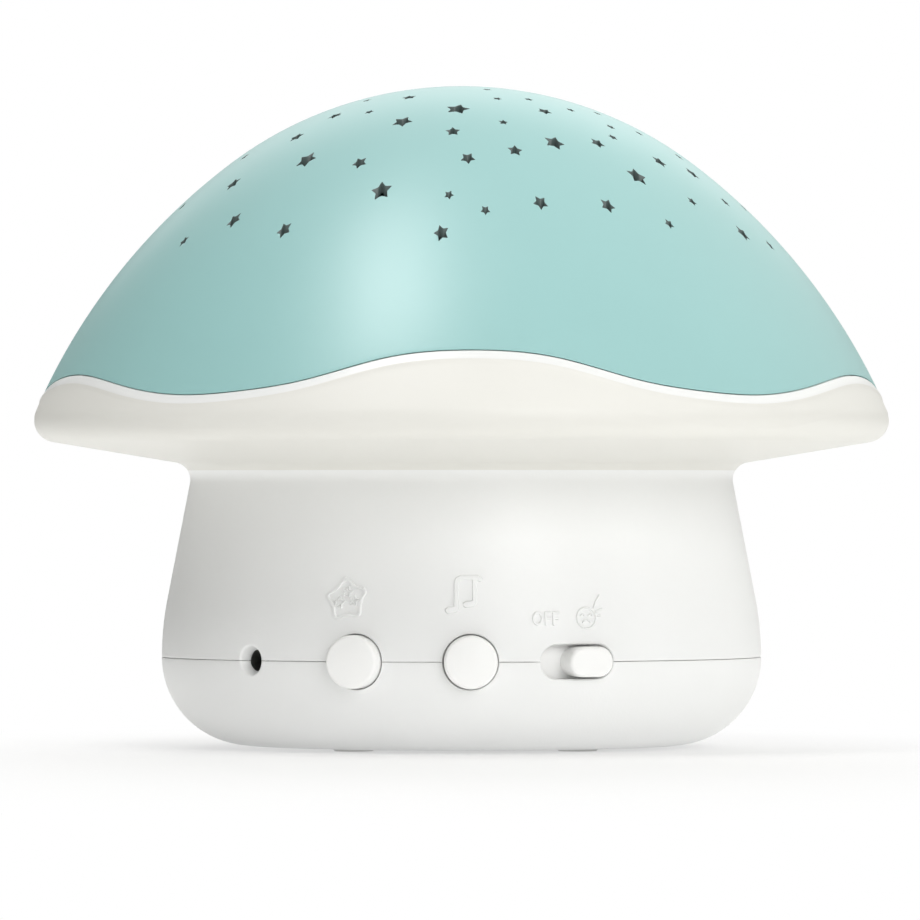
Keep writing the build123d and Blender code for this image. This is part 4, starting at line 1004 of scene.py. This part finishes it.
soft_lamp("key_lamp", (1.25, -0.42, 0.5), (0.5, 0.5), 1.1)
soft_lamp("front_lamp", (0.62, -1.45, 0.68), (0.9, 0.8), 8.9)
soft_lamp("top_lamp", (-0.29, -0.32, 1.2), (0.7, 0.3), 5.0, aim=(0, -0.32, 0.07))
soft_lamp("left_lamp", (-0.42, -0.56, 1.2), (0.42, 0.42), 2.5)
soft_lamp("back_lamp", (0.0, 1.35, 0.85), (1.3, 0.9), 3.4, aim=(0, 0, 0.13))

# %% Surrounding light: darker on the left, brighter behind, and plain white for the camera
LEFT_STRENGTH, RIGHT_STRENGTH = 0.15, 0.40
BEHIND_WAY, BEHIND_FROM, BEHIND_FULL, BEHIND_STRENGTH = (0.3, 0.45, 0.84), 0.5, 0.9, 3.2
world = bpy.data.worlds.new("studio")
bpy.context.scene.world = world
world.use_nodes = True
air, wires = world.node_tree.nodes, world.node_tree.links
sky = dialled(air["Background"], Color=(1.0, 1.0, 0.97, 1))
bright = dialled(air.new("ShaderNodeBackground"), Color=(1, 1, 1, 1))
way = air.new("ShaderNodeSeparateXYZ")
around_us = air.new("ShaderNodeTexCoord").outputs["Generated"]
wires.new(around_us, way.inputs["Vector"])
across = air.new("ShaderNodeMapRange")
dialled(across, From_Min=-1.0, To_Min=LEFT_STRENGTH, To_Max=RIGHT_STRENGTH)
wires.new(way.outputs["X"], across.inputs["Value"])
over = air.new("ShaderNodeVectorMath")
over.operation = "DOT_PRODUCT"
over.inputs[1].default_value = BEHIND_WAY
behind = air.new("ShaderNodeMapRange")
dialled(behind, From_Min=BEHIND_FROM, From_Max=BEHIND_FULL, To_Min=1.0, To_Max=BEHIND_STRENGTH)
wires.new(around_us, over.inputs[0])
wires.new(over.outputs["Value"], behind.inputs["Value"])
stronger = air.new("ShaderNodeMath")
stronger.operation = "MULTIPLY"
wires.new(across.outputs["Result"], stronger.inputs[0])
wires.new(behind.outputs["Result"], stronger.inputs[1])
wires.new(stronger.outputs["Value"], sky.inputs["Strength"])
ray = air.new("ShaderNodeLightPath")
either = air.new("ShaderNodeMath")
either.operation = "MAXIMUM"
blend = air.new("ShaderNodeMixShader")
wires.new(ray.outputs["Is Camera Ray"], either.inputs[0])
wires.new(ray.outputs["Is Transmission Ray"], either.inputs[1])
wires.new(either.outputs["Value"], blend.inputs["Fac"])
wires.new(sky.outputs["Background"], blend.inputs[1])
wires.new(bright.outputs["Background"], blend.inputs[2])
wires.new(blend.outputs["Shader"], air["World Output"].inputs["Surface"])

# %% Camera: level, far off, a little above the table
FRAME_PIXELS, PIXEL_MM, DISTANCE, SENSOR = 920, 0.2, 1.8, 36.0
CAMERA_AZIMUTH, CAMERA_HEIGHT = -1.5, 0.0513
HORIZON_Y, AXIS_X = 490.0, 461.5
view = bpy.data.cameras.new("camera")
view.sensor_width = SENSOR
view.lens = DISTANCE / (PIXEL_MM * MM * FRAME_PIXELS) * SENSOR
view.shift_y = (HORIZON_Y - FRAME_PIXELS / 2) / FRAME_PIXELS
view.shift_x = -(AXIS_X - FRAME_PIXELS / 2) / FRAME_PIXELS
camera = bpy.data.objects.new("camera", view)
camera.location = place(DISTANCE, CAMERA_AZIMUTH, CAMERA_HEIGHT)
camera.rotation_euler = (radians(90), 0, radians(CAMERA_AZIMUTH))
bpy.context.scene.collection.objects.link(camera)
bpy.context.scene.camera = camera
bpy.context.scene.view_settings.view_transform = "Standard"

# %% Finishes of the pieces that keep their built form
CARRIED = [
    (white_gloss, ["mode_knob"]),
    (white_grain, ["battery_door"]),
    (black_plastic, ["dc_jack_body"]),
    (rubber, ["rubber_feet"]),
    (nickel, ["dc_jack_pin", "contact_plates", "contact_springs"]),
    (steel, ["housing_screws", "neck_screws", "deck_screws", "board_screws", "led_board_screws"]),
    (steel, ["door_screw", "speaker_basket", "microphone", "slide_switch_body"]),
    (green_board, ["control_board", "led_board"]),
    (chip_black, ["sound_chip", "capacitor", "speaker_magnet", "slide_switch_lever"]),
    (chip_black, ["star_switch_body", "star_switch_plunger"]),
    (chip_black, ["music_switch_body", "music_switch_plunger"]),
    (cell_wrap, ["battery_cell_front", "battery_cell_middle", "battery_cell_rear"]),
    (dark_lining, ["light_deck"]),
    (lens_clear, ["projector_leds"]),
    (paper_cone, ["speaker_cone"]),
]
bare = set(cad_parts) - {
    "dome_shell", "brim", "stem_shell", "base_cup", "star_button", "music_button"
}
for coat, node_names in CARRIED:
    for node_name in node_names:
        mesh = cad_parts[node_name].data
        mesh.materials.clear()
        mesh.materials.append(coat)
        bare.discard(node_name)
print("pieces without a finish:", sorted(bare))
